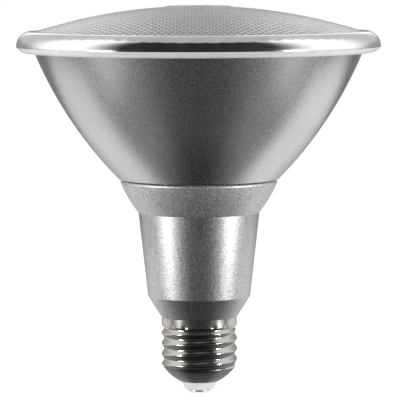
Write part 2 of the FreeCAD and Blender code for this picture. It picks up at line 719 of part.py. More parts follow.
def screw_shell():
    """Rolled cap shell: hem, bowed bottom, thread beads and the plain collar.

    The turns are drawn as level beads at the thread's pitch.
    """
    body = new_body("screw_shell")
    sketch = new_sketch(body, "ShellSection")
    collar = f"({THREAD_CREST} - ShellCollarStep)"
    collar_foot = f"({FOOT} - ShellTopGap - ShellCollarHeight)"
    top = f"({FOOT} - ShellTopGap)"
    flank = "((ThreadPitch - CrestFlat - ThreadRoot) / 2)"
    knee = SHELL_KNEE
    knee_height = "(ShellBottomHeight - ShellKneeDrop)"
    corners = [("ShellHem / 2", "ShellHemHeight"), (knee, knee_height)]
    corners.append((THREAD_ROOT, "ShellBottomHeight"))
    turns = int(number(f"({collar_foot} - ShellBottomHeight) / ThreadPitch"))
    for turn in range(turns):
        crest = f"(ShellBottomHeight + ThreadLead + {turn} * ThreadPitch)"
        if turn:
            corners.append((THREAD_ROOT, f"{crest} - CrestFlat / 2 - {flank}"))
        corners.append((THREAD_CREST, f"{crest} - CrestFlat / 2"))
        corners.append((THREAD_CREST, f"{crest} + CrestFlat / 2"))
        corners.append((THREAD_ROOT, f"{crest} + CrestFlat / 2 + {flank}"))
    corners.append((collar, collar_foot))
    corners.append((collar, top))
    corners.append((f"{collar} - ShellWall", top))
    corners.append((f"{collar} - ShellWall", collar_foot))
    corners.append((SHELL_BORE, f"{collar_foot} - ShellWall"))
    corners.append((SHELL_BORE, "ShellBottomHeight"))
    corners.append((f"{knee} - ShellWall / 2", f"{knee_height} + ShellWall"))
    corners.append(("ShellHem / 2", "ShellHemHeight + ShellWall"))
    outline(sketch, corners)
    revolve(body, sketch)
    return body


def cap_insulator():
    """Moulded insulator: nose through the shell's hole, shoulder inside, bore for the rivet."""
    body = new_body("cap_insulator")
    sketch = new_sketch(body, "InsulatorSection")
    bore = "(RivetDiameter / 2 + RivetFit)"
    nose = "(ShellHem / 2 - InsulatorNoseFit)"
    nose_top = "(ShellHemHeight + InsulatorSeat)"
    shoulder = f"({SHELL_KNEE} - InsulatorShoulderFit)"
    corners = [
        (bore, "ContactHead"),
        ("InsulatorFace / 2", "ContactHead"),
        (nose, "ShellHemHeight"),
        (nose, nose_top),
        (shoulder, "ShellHemHeight + InsulatorShoulderRise"),
        (shoulder, INSULATOR_TOP),
        (bore, INSULATOR_TOP),
    ]
    outline(sketch, corners)
    revolve(body, sketch)
    return body


def centre_contact():
    """Hollow rivet: flat, bevelled head, shank through the insulator, flared end."""
    body = new_body("centre_contact")
    sketch = new_sketch(body, "ContactSection")
    bore = "(LeadDiameter / 2 + LeadFit)"
    flare_top = f"({INSULATOR_TOP} + RivetFlareHeight)"
    corners = [
        ("0", "0"),
        ("ContactFlat / 2", "0"),
        ("ContactDiameter / 2", "ContactRise"),
        ("ContactDiameter / 2", "ContactHead"),
        ("RivetDiameter / 2", "ContactHead"),
        ("RivetDiameter / 2", INSULATOR_TOP),
        ("RivetFlare / 2", INSULATOR_TOP),
        ("RivetFlare / 2", flare_top),
        (bore, flare_top),
        (bore, "RivetFloor"),
        ("0", "RivetFloor"),
    ]
    outline(sketch, corners)
    revolve(body, sketch)
    return body


def light_board_holes(body, top, depth):
    """Holes for both kinds of screw and for the wires, through a disc on the floor."""
    screw = new_sketch(body, "ScrewHole", "XY_Plane", top)
    circle(screw, SCREWS, "0", "BoardScrew / 2 + ScrewFit")
    screw_cut = pocket(body, screw, "ScrewBore", depth)
    head = new_sketch(body, "HeadHole", "XY_Plane", top)
    circle(head, f"-{SCREWS}", "0", "ScrewHead / 2 + HeadFit")
    head_cut = pocket(body, head, "HeadBore", depth)
    polar(body, "Bores", [screw_cut, head_cut], "ScrewCount")
    port = new_sketch(body, "PortSection", "XY_Plane", top)
    wire_port(port)
    pocket(body, port, "Port", depth)


def thermal_pad():
    """Thin pad under the light-source board."""
    body = new_body("thermal_pad")
    sketch = new_sketch(body, "PadDisc", "XY_Plane", FLOOR_TOP)
    circle(sketch, "0", "0", f"{BOARD_EDGE} - PadMargin")
    pad(body, sketch, "Disc", "PadThickness")
    light_board_holes(body, LIGHT_BOARD, "PadThickness")
    return body


def led_board():
    """Round aluminium board with screw holes, head openings and a wire hole."""
    body = new_body("led_board")
    sketch = new_sketch(body, "BoardDisc", "XY_Plane", LIGHT_BOARD)
    circle(sketch, "0", "0", BOARD_EDGE)
    pad(body, sketch, "Disc", "LightBoardThickness")
    light_board_holes(body, LIGHT_BOARD_TOP, "LightBoardThickness")
    return body


def led_packages():
    """Light-emitting packages in two rings round a middle one."""
    body = new_body("led_packages")
    rings = (("Outer", OUTER_RING, "OuterCount"), ("Inner", INNER_RING, "InnerCount"))
    middle = new_sketch(body, "MiddleSection", "XY_Plane", LIGHT_BOARD_TOP)
    rectangle(middle, "-PackageLength / 2", "PackageLength / 2",
              "-PackageWidth / 2", "PackageWidth / 2")
    pad(body, middle, "Middle", "PackageHeight")
    for name, radius, count in rings:
        sketch = new_sketch(body, f"{name}Section", "XY_Plane", LIGHT_BOARD_TOP)
        half = f"(180deg / {count})"
        place_x = f"({radius} * cos{half})"
        place_y = f"({radius} * sin{half})"
        rectangle(
            sketch,
            f"{place_x} - PackageLength / 2",
            f"{place_x} + PackageLength / 2",
            f"{place_y} - PackageWidth / 2",
            f"{place_y} + PackageWidth / 2",
        )
        feature = pad(body, sketch, name, "PackageHeight")
        polar(body, f"{name}Packages", [feature], count)
    return body


def screws(label, side, seat, shank, length):
    """Three pan-head screws with a hexagon drive, on the screw circle."""
    body = new_body(label)
    stem = new_sketch(body, "ShankSection", "XY_Plane", f"{seat} - {length}")
    circle(stem, f"{side}{SCREWS}", "0", f"{shank} / 2")
    stem_pad = pad(body, stem, "Shank", length)
    head = new_sketch(body, "HeadSection", "XY_Plane", seat)
    circle(head, f"{side}{SCREWS}", "0", "ScrewHead / 2")
    head_pad = pad(body, head, "Head", "ScrewHeadHeight")
    drive = new_sketch(body, "DriveSection", "XY_Plane", f"{seat} + ScrewHeadHeight")
    corners = []
    for step in range(6):
        turn = f"{60 * step}deg"
        corners.append((f"{side}{SCREWS} + DriveWidth / 2 * cos({turn})",
                        f"DriveWidth / 2 * sin({turn})"))
    outline(drive, corners)
    drive_cut = pocket(body, drive, "Drive", "DriveDepth")
    polar(body, "Screws", [stem_pad, head_pad, drive_cut], "ScrewCount")
    return body


def board_connector():
    """Two-pole connector that the wires enter from below, through the board."""
    body = new_body("board_connector")
    sketch = new_sketch(body, "ConnectorSection", "XY_Plane", LIGHT_BOARD_TOP)
    rectangle(sketch, f"{WIRE_PORT} - ConnectorLength / 2", f"{WIRE_PORT} + ConnectorLength / 2",
              "-ConnectorWidth / 2", "ConnectorWidth / 2")
    pad(body, sketch, "Block", "ConnectorHeight")
    sockets = new_sketch(body, "SocketSection", "XY_Plane", LIGHT_BOARD_TOP)
    for side in ("-", "+"):
        circle(sockets, f"{WIRE_PORT} {side} OutputPitch / 2", "0", "LeadDiameter / 2 + LeadFit / 2")
    pocket(body, sockets, "Sockets", "ConnectorHeight - ConnectorWall", turned=True)
    return body


def driver_board():
    """Upright board: narrow tongue in the cap, full width between the ribs."""
    body = new_body("driver_board")
    sketch = new_sketch(body, "BoardSection", "XZ_Plane", BOARD_FACE)
    tongue_top = "(DriverFoot + DriverTongueHeight)"
    shoulder = "(DriverFoot + DriverTongueHeight + DriverShoulder)"
    corners = [
        ("-DriverTongue / 2", "DriverFoot"),
        ("DriverTongue / 2", "DriverFoot"),
        ("DriverTongue / 2", tongue_top),
        ("DriverWidth / 2", shoulder),
        ("DriverWidth / 2", DRIVER_TOP),
        ("-DriverWidth / 2", DRIVER_TOP),
        ("-DriverWidth / 2", shoulder),
        ("-DriverTongue / 2", tongue_top),
    ]
    outline(sketch, corners)
    pad(body, sketch, "Board", "DriverThickness")
    return body


def transformer():
    """Core with two windows, bobbin round its middle leg, and the winding."""
    middle = "TransformerHeight"
    centre = f"(BobbinDepth / 2 - {BOARD_FACE})"
    block = box("CoreBlock", ("CoreWidth", "CoreDepth", "CoreHeight"),
                ("-CoreWidth / 2", f"{centre} - CoreDepth / 2", f"{middle} - CoreHeight / 2"))
    window = "(CoreWidth / 2 - CoreSideLeg - CoreLeg / 2)"
    cuts = []
    for name, left in (("WindowLeft", f"-CoreLeg / 2 - {window}"), ("WindowRight", "CoreLeg / 2")):
        size = (window, "CoreDepth", "CoreHeight - 2 * CoreYoke")
        place = (left, f"{centre} - CoreDepth / 2", f"{middle} - CoreHeight / 2 + CoreYoke")
        cuts.append(box(name, size, place))
    core = joined("Part::Cut", "Core", block, cuts)
    core.Label = "transformer_core"

    half_window = "(CoreHeight / 2 - CoreYoke)"
    spool = f"(2 * {half_window} - 2 * BobbinFit)"
    wide = "(CoreWidth - 2 * CoreSideLeg - 2 * BobbinFit)"
    tube_x = "(CoreLeg + 2 * BobbinFit + 2 * BobbinWall)"
    tube_y = "(CoreDepth + 2 * BobbinFit + 2 * BobbinWall)"
    tube = box("BobbinTube", (tube_x, tube_y, spool),
               (f"-{tube_x} / 2", f"{centre} - {tube_y} / 2", f"{middle} - {spool} / 2"))
    cheeks = []
    for name, low in (("LowerCheek", f"{middle} - {spool} / 2"),
                      ("UpperCheek", f"{middle} + {spool} / 2 - BobbinFlange")):
        cheeks.append(box(name, (wide, "BobbinDepth", "BobbinFlange"),
                          (f"-{wide} / 2", f"{centre} - BobbinDepth / 2", low)))
    leg = box("LegPassage", ("CoreLeg + 2 * BobbinFit", "CoreDepth + 2 * BobbinFit", spool),
              ("-CoreLeg / 2 - BobbinFit", f"{centre} - CoreDepth / 2 - BobbinFit",
               f"{middle} - {spool} / 2"))
    bobbin = joined("Part::Cut", "Bobbin", joined("Part::MultiFuse", "Spool", tube, cheeks), [leg])
    bobbin.Label = "transformer_bobbin"

    high = f"({spool} - 2 * BobbinFlange - 2 * WindingFit)"
    wound_x = f"({wide} / 2 - WindingInset)"
    wound_y = "(BobbinDepth / 2 - WindingInset)"
    winding = new_body("transformer_winding")
    turns = new_sketch(winding, "TurnsSection", "XY_Plane", f"{middle} - {high} / 2")
    bevelled(turns, f"-{wound_x}", wound_x, f"{centre} - {wound_y}", f"{centre} + {wound_y}",
             "WindingBevel")
    hole_x = f"({tube_x} / 2 + WindingFit)"
    hole_y = f"({tube_y} / 2 + WindingFit)"
    rectangle(turns, f"-{hole_x}", hole_x, f"{centre} - {hole_y}", f"{centre} + {hole_y}")
    pad(winding, turns, "Turns", high)
    return [core, bobbin, winding]


def standing_can(label, diameter, height, side, foot):
    """Electrolytic capacitor that lies along the board, with its rolled groove."""
    body = new_body(label)
    sketch = new_sketch(body, "CanSection")
    radius = f"({diameter} / 2)"
    groove_at = f"({height} - CapGroovePlace)"
    corners = [
        ("0", "0"),
        (radius, "0"),
        (radius, f"{groove_at} - CapSleeveGroove"),
        (f"{radius} - CapSleeveGroove", groove_at),
        (radius, f"{groove_at} + CapSleeveGroove"),
        (radius, height),
        ("0", height),
    ]
    outline(sketch, corners)
    revolve(body, sketch)
    set_place(body, side, f"{radius} + PartLift - {BOARD_FACE}", foot)
    return body


def film_capacitor():
    """Box capacitor on the tongue of the board."""
    body = new_body("film_capacitor")
    sketch = new_sketch(body, "BoxSection", "XZ_Plane", BOARD_FACE)
    bevelled(sketch, "FilmSide - FilmLength / 2", "FilmSide + FilmLength / 2",
             "FilmFoot", "FilmFoot + FilmHeight", "FilmBevel")
    pad(body, sketch, "Box", "FilmDepth", turned=True)
    return body


def bevelled_rod(label, radius, length, cut):
    """A short rod along Z, bevelled at both ends."""
    body = new_body(label)
    sketch = new_sketch(body, "RodSection")
    corners = [
        ("0", "0"),
        (f"{radius} - {cut}", "0"),
        (radius, cut),
        (radius, f"{length} - {cut}"),
        (f"{radius} - {cut}", length),
        ("0", length),
    ]
    outline(sketch, corners)
    revolve(body, sketch)
    return body


def fuse_resistor():
    """Fusible resistor on the tongue, upright along the board."""
    body = bevelled_rod("fuse_resistor", "(FuseDiameter / 2)", "FuseHeight", "FuseBevel")
    set_place(body, "FuseSide", f"FuseDiameter / 2 + PartLift - {BOARD_FACE}", "FuseFoot")
    return body


def filter_choke():
    """Drum choke on the back of the board."""
    body = new_body("filter_choke")
    sketch = new_sketch(body, "DrumSection")
    corners = [
        ("0", "0"),
        ("ChokeDiameter / 2", "0"),
        ("ChokeDiameter / 2", "ChokeCheek"),
        ("ChokeWaist / 2", "ChokeCheek"),
        ("ChokeWaist / 2", "ChokeDepth - ChokeCheek"),
        ("ChokeDiameter / 2", "ChokeDepth - ChokeCheek"),
        ("ChokeDiameter / 2", "ChokeDepth"),
        ("0", "ChokeDepth"),
    ]
    outline(sketch, corners)
    revolve(body, sketch)
    laid_back(body, "ChokeHeight")
    return body


def pinned_chip(label, sizes, height, pins, pitch):
    """Flat package with pins on both sides, on the back of the board."""
    wide, deep, tall = sizes
    title = "".join(word.title() for word in label.split("_"))
    block = box(f"{title}Block", (wide, deep, tall),
                (f"-{wide} / 2", f"-{BOARD_BACK} - {deep}", f"{height} - {tall} / 2"))
    legs = []
    count = int(round(number(pins)))
    for index in range(count):
        level = f"({height} + ({index} - ({pins} - 1) / 2) * {pitch})"
        legs.append(box(f"{title}Pin{index}", (f"{wide} + 2 * PinReach", "PinThickness", "PinWidth"),
                        (f"-{wide} / 2 - PinReach", f"-{BOARD_BACK} - PinThickness",
                         f"{level} - PinWidth / 2")))
    item = joined("Part::MultiFuse", title, block, legs)
    item.Label = label
    return item


def surge_varistor():
    """Disc varistor, flat on the back of the board's tongue."""
    body = bevelled_rod("surge_varistor", "(VaristorDiameter / 2)", "VaristorDepth",
                        "VaristorBevel")
    laid_back(body, "VaristorHeight")
    return body


def output_leads():
    """Two wires from the top of the driver board up into the connector."""
    top = f"({LIGHT_BOARD_TOP} + ConnectorHeight - ConnectorWall)"
    foot = f"({DRIVER_TOP} - OutputSolder)"
    body = new_body("output_leads")
    sketch = new_sketch(body, "WireSection", "XY_Plane", foot)
    for side in ("-", "+"):
        circle(sketch, f"{WIRE_PORT} {side} OutputPitch / 2", "0", "LeadDiameter / 2")
    pad(body, sketch, "Wires", f"{top} - {foot}")
    return body


def live_lead():
    """Straight wire on the lamp's axis, from the board down into the contact rivet."""
    item = cylinder("LiveLead", "LeadDiameter / 2", "DriverFoot + CapLeadSolder - RivetFloor",
                    ("0", "0", "RivetFloor"))
    item.Label = "live_lead"
    return item


def neutral_lead():
    """Wire from the board down and out through the spigot's slot to the shell."""
    body = new_body("neutral_lead")
    path = new_sketch(body, "WirePath")
    top = Vector(number("NeutralSide"), number("DriverFoot + CapLeadSolder"), 0)
    bend = number("LeadBend")
    low = number("NeutralHeight")
    end = -number(f"{SHELL_BORE} - NeutralFit")
    centre = Vector(top.x - bend, low + bend, 0)
    down = path.addGeometry(Part.LineSegment(top, Vector(top.x, low + bend, 0)), False)
    turn_circle = Part.Circle(centre, Vector(0, 0, 1), bend)
    turn = path.addGeometry(Part.ArcOfCircle(turn_circle, -math.pi / 2, 0), False)
    away = path.addGeometry(Part.LineSegment(Vector(centre.x, low, 0), Vector(end, low, 0)), False)
    path.addConstraint(Sketcher.Constraint("Tangent", down, 2, turn, 2))
    path.addConstraint(Sketcher.Constraint("Tangent", turn, 1, away, 1))
    path.addConstraint(Sketcher.Constraint("Vertical", down))
    path.addConstraint(Sketcher.Constraint("Horizontal", away))
    place_point(path, down, 1, "NeutralSide", "DriverFoot + CapLeadSolder")
    place_point(path, away, 2, f"-({SHELL_BORE} - NeutralFit)", "NeutralHeight")
    pin(path, "Radius", (turn,), (), "LeadBend")
    section = new_sketch(body, "WireSection", "XY_Plane", "DriverFoot + CapLeadSolder")
    circle(section, "NeutralSide", "0", "LeadDiameter / 2")
    pipe = body.newObject("PartDesign::AdditivePipe", "Wire")
    pipe.Profile = section
    pipe.Spine = (path, [])
    return body


PIECES = [
    lens(),
    front_ring(),
    lens_gasket(),
    reflector_bowl(),
    neck_housing(),
    screw_shell(),
    cap_insulator(),
    centre_contact(),
    thermal_pad(),
    led_board(),
    led_packages(),
    board_connector(),
    screws("board_screws", "", LIGHT_BOARD_TOP, "BoardScrew", "BoardScrewLength"),
    screws("housing_screws", "-", FLOOR_TOP, "HousingScrew", "HousingScrewLength"),
    driver_board(),
    *transformer(),
    standing_can("input_capacitor", "InputCapDiameter", "InputCapHeight",
                 "InputCapSide", "InputCapFoot"),
    standing_can("output_capacitor", "OutputCapDiameter", "OutputCapHeight",
                 "OutputCapSide", "OutputCapFoot"),
    film_capacitor(),
    fuse_resistor(),
    filter_choke(),
    pinned_chip("driver_chip", ("ChipWidth", "ChipDepth", "ChipLength"),
                "ChipHeight", "ChipPins", "PinPitch"),
    pinned_chip("bridge_rectifier", ("BridgeWidth", "BridgeDepth", "BridgeLength"),
                "BridgeHeight", "BridgePins", "BridgePinPitch"),
    surge_varistor(),
    output_leads(),
    live_lead(),
    neutral_lead(),
]

doc.recompute()
for item in doc.Objects:
    if "Invalid" in item.State or "Error" in item.State:
        raise RuntimeError(f"{item.Label} failed: {item.State}")
for piece in PIECES:
    if piece.Shape.isNull() or not piece.Shape.isValid():
        raise RuntimeError(f"{piece.Label} has no valid shape")

os.makedirs("parts", exist_ok=True)
for piece in PIECES:
    piece.Shape.exportStep(os.path.join("parts", piece.Label + ".step"))
    bounds = piece.Shape.optimalBoundingBox(False)
    print(f"{piece.Label}: {len(piece.Shape.Solids)} solids, {piece.Shape.Volume:.1f} mm3, "
          f"z {bounds.ZMin:.2f} to {bounds.ZMax:.2f}, across {bounds.XLength:.2f}")
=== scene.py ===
# %% [markdown]
# # Dressing a par spotlight bulb
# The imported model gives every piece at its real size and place. This lesson gives the pieces
# that show a smooth surface and a finish: a patterned glass lens, a bright ring, a bowl and a
# neck in sandy silver lacquer, and a plated cap with its rolled thread.

# %% Load the frame
import math

import bmesh
import bpy
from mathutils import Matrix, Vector


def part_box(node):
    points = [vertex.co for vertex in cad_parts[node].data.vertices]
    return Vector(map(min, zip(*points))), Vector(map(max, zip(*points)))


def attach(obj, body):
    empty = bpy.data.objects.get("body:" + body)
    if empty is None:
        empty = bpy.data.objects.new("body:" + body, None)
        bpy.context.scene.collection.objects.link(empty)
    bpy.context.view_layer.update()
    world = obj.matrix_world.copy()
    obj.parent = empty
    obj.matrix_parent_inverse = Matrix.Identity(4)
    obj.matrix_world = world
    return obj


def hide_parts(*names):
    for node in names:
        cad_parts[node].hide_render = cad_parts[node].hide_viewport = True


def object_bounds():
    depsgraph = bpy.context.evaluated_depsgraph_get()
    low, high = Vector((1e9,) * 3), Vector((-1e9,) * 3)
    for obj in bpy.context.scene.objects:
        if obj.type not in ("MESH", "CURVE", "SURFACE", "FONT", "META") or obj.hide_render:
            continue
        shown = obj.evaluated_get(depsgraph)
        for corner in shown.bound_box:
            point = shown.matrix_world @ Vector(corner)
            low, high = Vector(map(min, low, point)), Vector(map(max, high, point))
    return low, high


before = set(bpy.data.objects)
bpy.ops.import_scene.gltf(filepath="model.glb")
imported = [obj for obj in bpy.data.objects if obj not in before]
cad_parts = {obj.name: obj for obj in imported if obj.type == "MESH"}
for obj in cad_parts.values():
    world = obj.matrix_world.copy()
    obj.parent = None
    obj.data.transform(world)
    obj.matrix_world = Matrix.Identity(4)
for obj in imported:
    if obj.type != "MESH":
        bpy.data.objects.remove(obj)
cad_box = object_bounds()
MM = 0.001
print("pieces in the frame:", len(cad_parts))

# %% [markdown]
# ## A small toolkit
# Most outer pieces of this lamp are turned: each has one section that goes round the axis.
# A Screw modifier on a curve would turn it too, but a plain list of points keeps every radius
# exact. Each helper below does one job: arcs, spinning, and smooth shading that leaves the real
# edges crisp.


# %% Turned pieces
ON_AXIS = 1e-7
CRISP_ANGLE = 28


def circle_points(centre, start, end, radius, steps):
    """Points on a circle from start to end, the short way round."""
    from_angle = math.atan2(start.y - centre.y, start.x - centre.x)
    to_angle = math.atan2(end.y - centre.y, end.x - centre.x)
    sweep = (to_angle - from_angle + math.pi) % (2 * math.pi) - math.pi
    points = []
    for step in range(steps + 1):
        angle = from_angle + sweep * step / steps
        points.append((centre.x + radius * math.cos(angle), centre.y + radius * math.sin(angle)))
    return points


def arc(start, end, radius, side, steps):
    """Points after start up to end on an arc that bows to the left (+1) or right (-1)."""
    a = Vector(start)
    b = Vector(end)
    chord = b - a
    left = Vector((-chord.y, chord.x)).normalized()
    rise = math.sqrt(max(radius ** 2 - (chord.length / 2) ** 2, 0.0))
    centre = (a + b) / 2 - left * side * rise
    return circle_points(centre, a, b, radius, steps)[1:]


def add_object(name, mesh):
    """Put a mesh into the scene as a piece."""
    piece = bpy.data.objects.new(name, mesh)
    bpy.context.scene.collection.objects.link(piece)
    return piece


def turned(name, section, around, crisp=CRISP_ANGLE):
    """Spin a closed section of (radius, height) points; points on the axis become poles."""
    shape = bmesh.new()
    rings = []
    for radius, height in section:
        if radius < ON_AXIS:
            rings.append([shape.verts.new((0, 0, height))])
            continue
        ring = []
        for step in range(around):
            angle = 2 * math.pi * step / around
            place = (radius * math.cos(angle), radius * math.sin(angle), height)
            ring.append(shape.verts.new(place))
        rings.append(ring)
    for index, lower in enumerate(rings):
        upper = rings[(index + 1) % len(rings)]
        if len(lower) == 1 and len(upper) == 1:
            continue
        for step in range(around):
            after = (step + 1) % around
            corners = [lower[step % len(lower)], lower[after % len(lower)],
                       upper[after % len(upper)], upper[step % len(upper)]]
            unique = list(dict.fromkeys(corners))
            shape.faces.new(unique)
    bmesh.ops.recalc_face_normals(shape, faces=shape.faces)
    mesh = bpy.data.meshes.new(name)
    shape.to_mesh(mesh)
    shape.free()
    mesh.shade_smooth()
    mesh.set_sharp_from_angle(angle=math.radians(crisp))
    piece = add_object(name, mesh)
    print(name, "has", len(mesh.polygons), "faces")
    return piece


# %% [markdown]
# Finishes, studio and patterns are node trees. They could be wired node by node, but they are
# easier to read when each node is made in one line, so this wrapper makes a node, fills its
# inputs and links whatever comes from another node.


# %% Node helpers
class Graph:
    """Makes nodes in one tree."""

    def __init__(self, tree):
        self.tree = tree

    def add(self, kind, inputs=None, **settings):
        node = self.tree.nodes.new(kind)
        for key, value in settings.items():
            setattr(node, key, value)
        for key, value in (inputs or {}).items():
            self.feed(node.inputs[key], value)
        return node

    def feed(self, socket, value):
        if isinstance(value, bpy.types.NodeSocket):
            self.tree.links.new(value, socket)
        elif isinstance(value, bpy.types.Node):
            self.tree.links.new(value.outputs[0], socket)
        else:
            socket.default_value = value

    def math(self, operation, first, second=0.0, third=0.0, clamp=False):
        kind = "ShaderNodeMath"
        node = self.add(kind, {0: first, 1: second, 2: third}, operation=operation)
        node.use_clamp = clamp
        return node.outputs[0]

    def smooth(self, value, low, high, from_low=0.0, from_high=1.0):
        inputs = {"Value": value, "From Min": from_low, "From Max": from_high,
                  "To Min": low, "To Max": high}
        node = self.add("ShaderNodeMapRange", inputs, interpolation_type="SMOOTHSTEP")
        return node.outputs[0]


def new_material(name):
    """An empty node material with a Principled shader; returns the material, graph, shader."""
    material = bpy.data.materials.new(name)
    material.use_nodes = True
    tree = material.node_tree
    tree.nodes.clear()
    graph = Graph(tree)
    shader = graph.add("ShaderNodeBsdfPrincipled")
    output = graph.add("ShaderNodeOutputMaterial")
    tree.links.new(shader.outputs[0], output.inputs["Surface"])
    return material, graph, shader


def object_point(graph):
    """The piece's own coordinates, in metres."""
    return graph.add("ShaderNodeTexCoord").outputs["Object"]


def noise(graph, vector, scale, detail):
    """A noise's value, which is 0.5 on average."""
    inputs = {"Vector": vector, "Scale": scale, "Detail": detail}
    return graph.add("ShaderNodeTexNoise", inputs).outputs["Fac"]


def tint(graph, shader, colour, factor):
    """Give a shader its colour, made lighter or darker by a factor."""
    shade = graph.add("ShaderNodeVectorMath", {0: colour, "Scale": factor}, operation="SCALE")
    graph.feed(shader.inputs["Base Color"], shade.outputs[0])


def bump(graph, shader, height, strength, distance):
    """Tilt a shader's surface by a height."""
    inputs = {"Height": height, "Strength": strength, "Distance": distance}
    graph.feed(shader.inputs["Normal"], graph.add("ShaderNodeBump", inputs))


# %% [markdown]
# ## Camera
# The photograph was taken from almost a metre away, a little above the lamp and looking down
# by five degrees. A camera could be aimed with a constraint; here it stands at that place with
# plain angles, so that the lamp's contact comes near the frame's foot.

# %% Camera
CAMERA_DISTANCE = 0.950
CAMERA_HEIGHT = 0.14837
CAMERA_SIDE = 0.00058
CAMERA_PITCH = 4.941
CAMERA_ROLL = 0.15
CAMERA_LENS = 249.85
SENSOR_WIDTH = 36.0

camera_data = bpy.data.cameras.new("Camera")
camera_data.lens = CAMERA_LENS
camera_data.sensor_width = SENSOR_WIDTH
camera = bpy.data.objects.new("Camera", camera_data)
bpy.context.scene.collection.objects.link(camera)
camera.location = (CAMERA_SIDE, -CAMERA_DISTANCE, CAMERA_HEIGHT)
camera.rotation_mode = "ZXY"
camera.rotation_euler = (math.radians(90 - CAMERA_PITCH), math.radians(CAMERA_ROLL), 0)
bpy.context.scene.camera = camera
bpy.context.scene.view_settings.view_transform = "Standard"
print("camera", tuple(round(value, 4) for value in camera.location))

# %% [markdown]
# ## Studio
# Bright metal shows its surroundings. In the photograph they are dark in front, bright at both
# sides, and behind stands a paler wall with two brighter panels beside its greyer middle. Cards
# round the lamp could give these bands. A painted world gives the same ones with nothing in
# the way: mirror rays see the bands, and all other rays see even white. Each border is worked
# out from the direction of a ray, so every angle is a number of its own.


# %% Directions
def front_cosine(graph, direction):
    """How far a direction points to the camera (1 towards it, -1 away), and its rise."""
    parts = graph.add("ShaderNodeSeparateXYZ", {0: direction})
    flat = graph.add("ShaderNodeCombineXYZ", {0: parts.outputs[0], 1: parts.outputs[1]})
    unit = graph.add("ShaderNodeVectorMath", {0: flat.outputs[0]}, operation="NORMALIZE")
    forward = graph.add("ShaderNodeSeparateXYZ", {0: unit.outputs[0]})
    return graph.math("MULTIPLY", forward.outputs[1], -1.0), parts.outputs[2]


def cosine(degrees):
    """Cosine of an angle in degrees."""
    return math.cos(math.radians(degrees))


def by_angle(graph, front, first, second, angles):
    """Change softly from a first level to a second between two angles round from the camera."""
    return graph.smooth(front, first, second, cosine(angles[0]), cosine(angles[1]))


def blended(graph, factor, first, second):
    """Mix two numbers."""
    inputs = {"Factor": factor, 2: first, 3: second}
    return graph.add("ShaderNodeMix", inputs, data_type="FLOAT").outputs[0]


# %% [markdown]
# The bands follow from these borders. A wrapped picture could hold them too, but it would have
# to be painted again for each change; here one number moves one border.

# %% World
DARK_FRONT = 0.022
BRIGHT_SIDE = 1.25
BACK_HORIZON = 0.34
BACK_MIDDLE = 0.62
BACK_PANEL = 1.30
BACK_HIGH = 0.60
OVERHEAD = 0.48
EVEN_LIGHT = 0.9
# Degrees round from the camera.
SIDE_ANGLES = (82.0, 48.0)
PANEL_ANGLES = (171.0, 163.0)
# Cosines of that angle, so -1 is straight behind.
BEHIND_RANGE = (-0.80, -0.30)
MIDDLE_RANGE = (-1.0, -0.996)
# Sines of the height over the horizon.
HORIZON_RANGE = (0.04, 0.22)
PANEL_TOP = (0.64, 0.74)
OVERHEAD_RANGE = (0.84, 0.93)

world = bpy.data.worlds.new("Studio")
bpy.context.scene.world = world
world.use_nodes = True
world.node_tree.nodes.clear()
sky = Graph(world.node_tree)
direction = sky.add("ShaderNodeTexCoord").outputs["Generated"]
front, rise = front_cosine(sky, direction)
side = by_angle(sky, front, BRIGHT_SIDE, DARK_FRONT, SIDE_ANGLES)
low = sky.smooth(sky.math("ABSOLUTE", rise), 1.0, 0.0, *HORIZON_RANGE)
behind = sky.smooth(front, 1.0, 0.0, *BEHIND_RANGE)
panels = sky.smooth(front, BACK_MIDDLE, BACK_PANEL, *MIDDLE_RANGE)
panel_width = by_angle(sky, front, 1.0, 0.0, PANEL_ANGLES)
panel_top = sky.smooth(rise, 1.0, 0.0, *PANEL_TOP)
panel_share = sky.math("MULTIPLY", panel_width, panel_top)
back_high = blended(sky, panel_share, BACK_HIGH, panels)
back_wall = blended(sky, low, back_high, BACK_HORIZON)
belt = blended(sky, behind, side, back_wall)
above = sky.smooth(rise, 0.0, 1.0, *OVERHEAD_RANGE)
room = blended(sky, above, belt, OVERHEAD)
rays = sky.add("ShaderNodeLightPath")
plain = sky.math("MAXIMUM", rays.outputs["Is Camera Ray"], rays.outputs["Is Transmission Ray"])
lit = blended(sky, plain, EVEN_LIGHT, 1.0)
level = blended(sky, rays.outputs["Is Glossy Ray"], lit, room)
background = sky.add("ShaderNodeBackground", {"Color": (1, 1, 1, 1), "Strength": level})
sky.add("ShaderNodeOutputWorld", {"Surface": background})
print("world nodes:", len(world.node_tree.nodes))

# %% [markdown]
# ## Floor
# The lamp stands on a plain white floor. Bowl and neck mirror it, so what they show is mostly
# floor. Cards could lie on a real one to give its dark and bright parts. Here the level that
# mirror rays see is worked out from the place on the floor, so each border can be as soft as
# in the photograph.

# %% Floor plane
FLOOR_SIZE = 12.0
FLOOR_GAP = 0.0001

bpy.ops.mesh.primitive_plane_add(size=FLOOR_SIZE, location=(0, 0, cad_box[0][2] - FLOOR_GAP))
floor = bpy.context.active_object
floor.name = "floor"
floor_material = bpy.data.materials.new("studio_floor")
floor_material.use_nodes = True
floor_material.node_tree.nodes.clear()
ground = Graph(floor_material.node_tree)
spot = ground.add("ShaderNodeNewGeometry").outputs["Position"]
floor_front, _ = front_cosine(ground, spot)
away = ground.add("ShaderNodeVectorMath", {0: spot}, operation="LENGTH").outputs["Value"]
across, deep, _ = ground.add("ShaderNodeSeparateXYZ", {0: spot}).outputs
aside = ground.math("ABSOLUTE", across)
print("floor is", FLOOR_SIZE, "m wide at", round(floor.location.z, 6))

# %% [markdown]
# In front the floor is dark, which gives the bowl its dark middle. Behind a line through the
# lamp it is bright, which gives the bright sides. Two planes could meet there in a hard line; a
# smooth step lets the line lean back on both sides and stay soft.

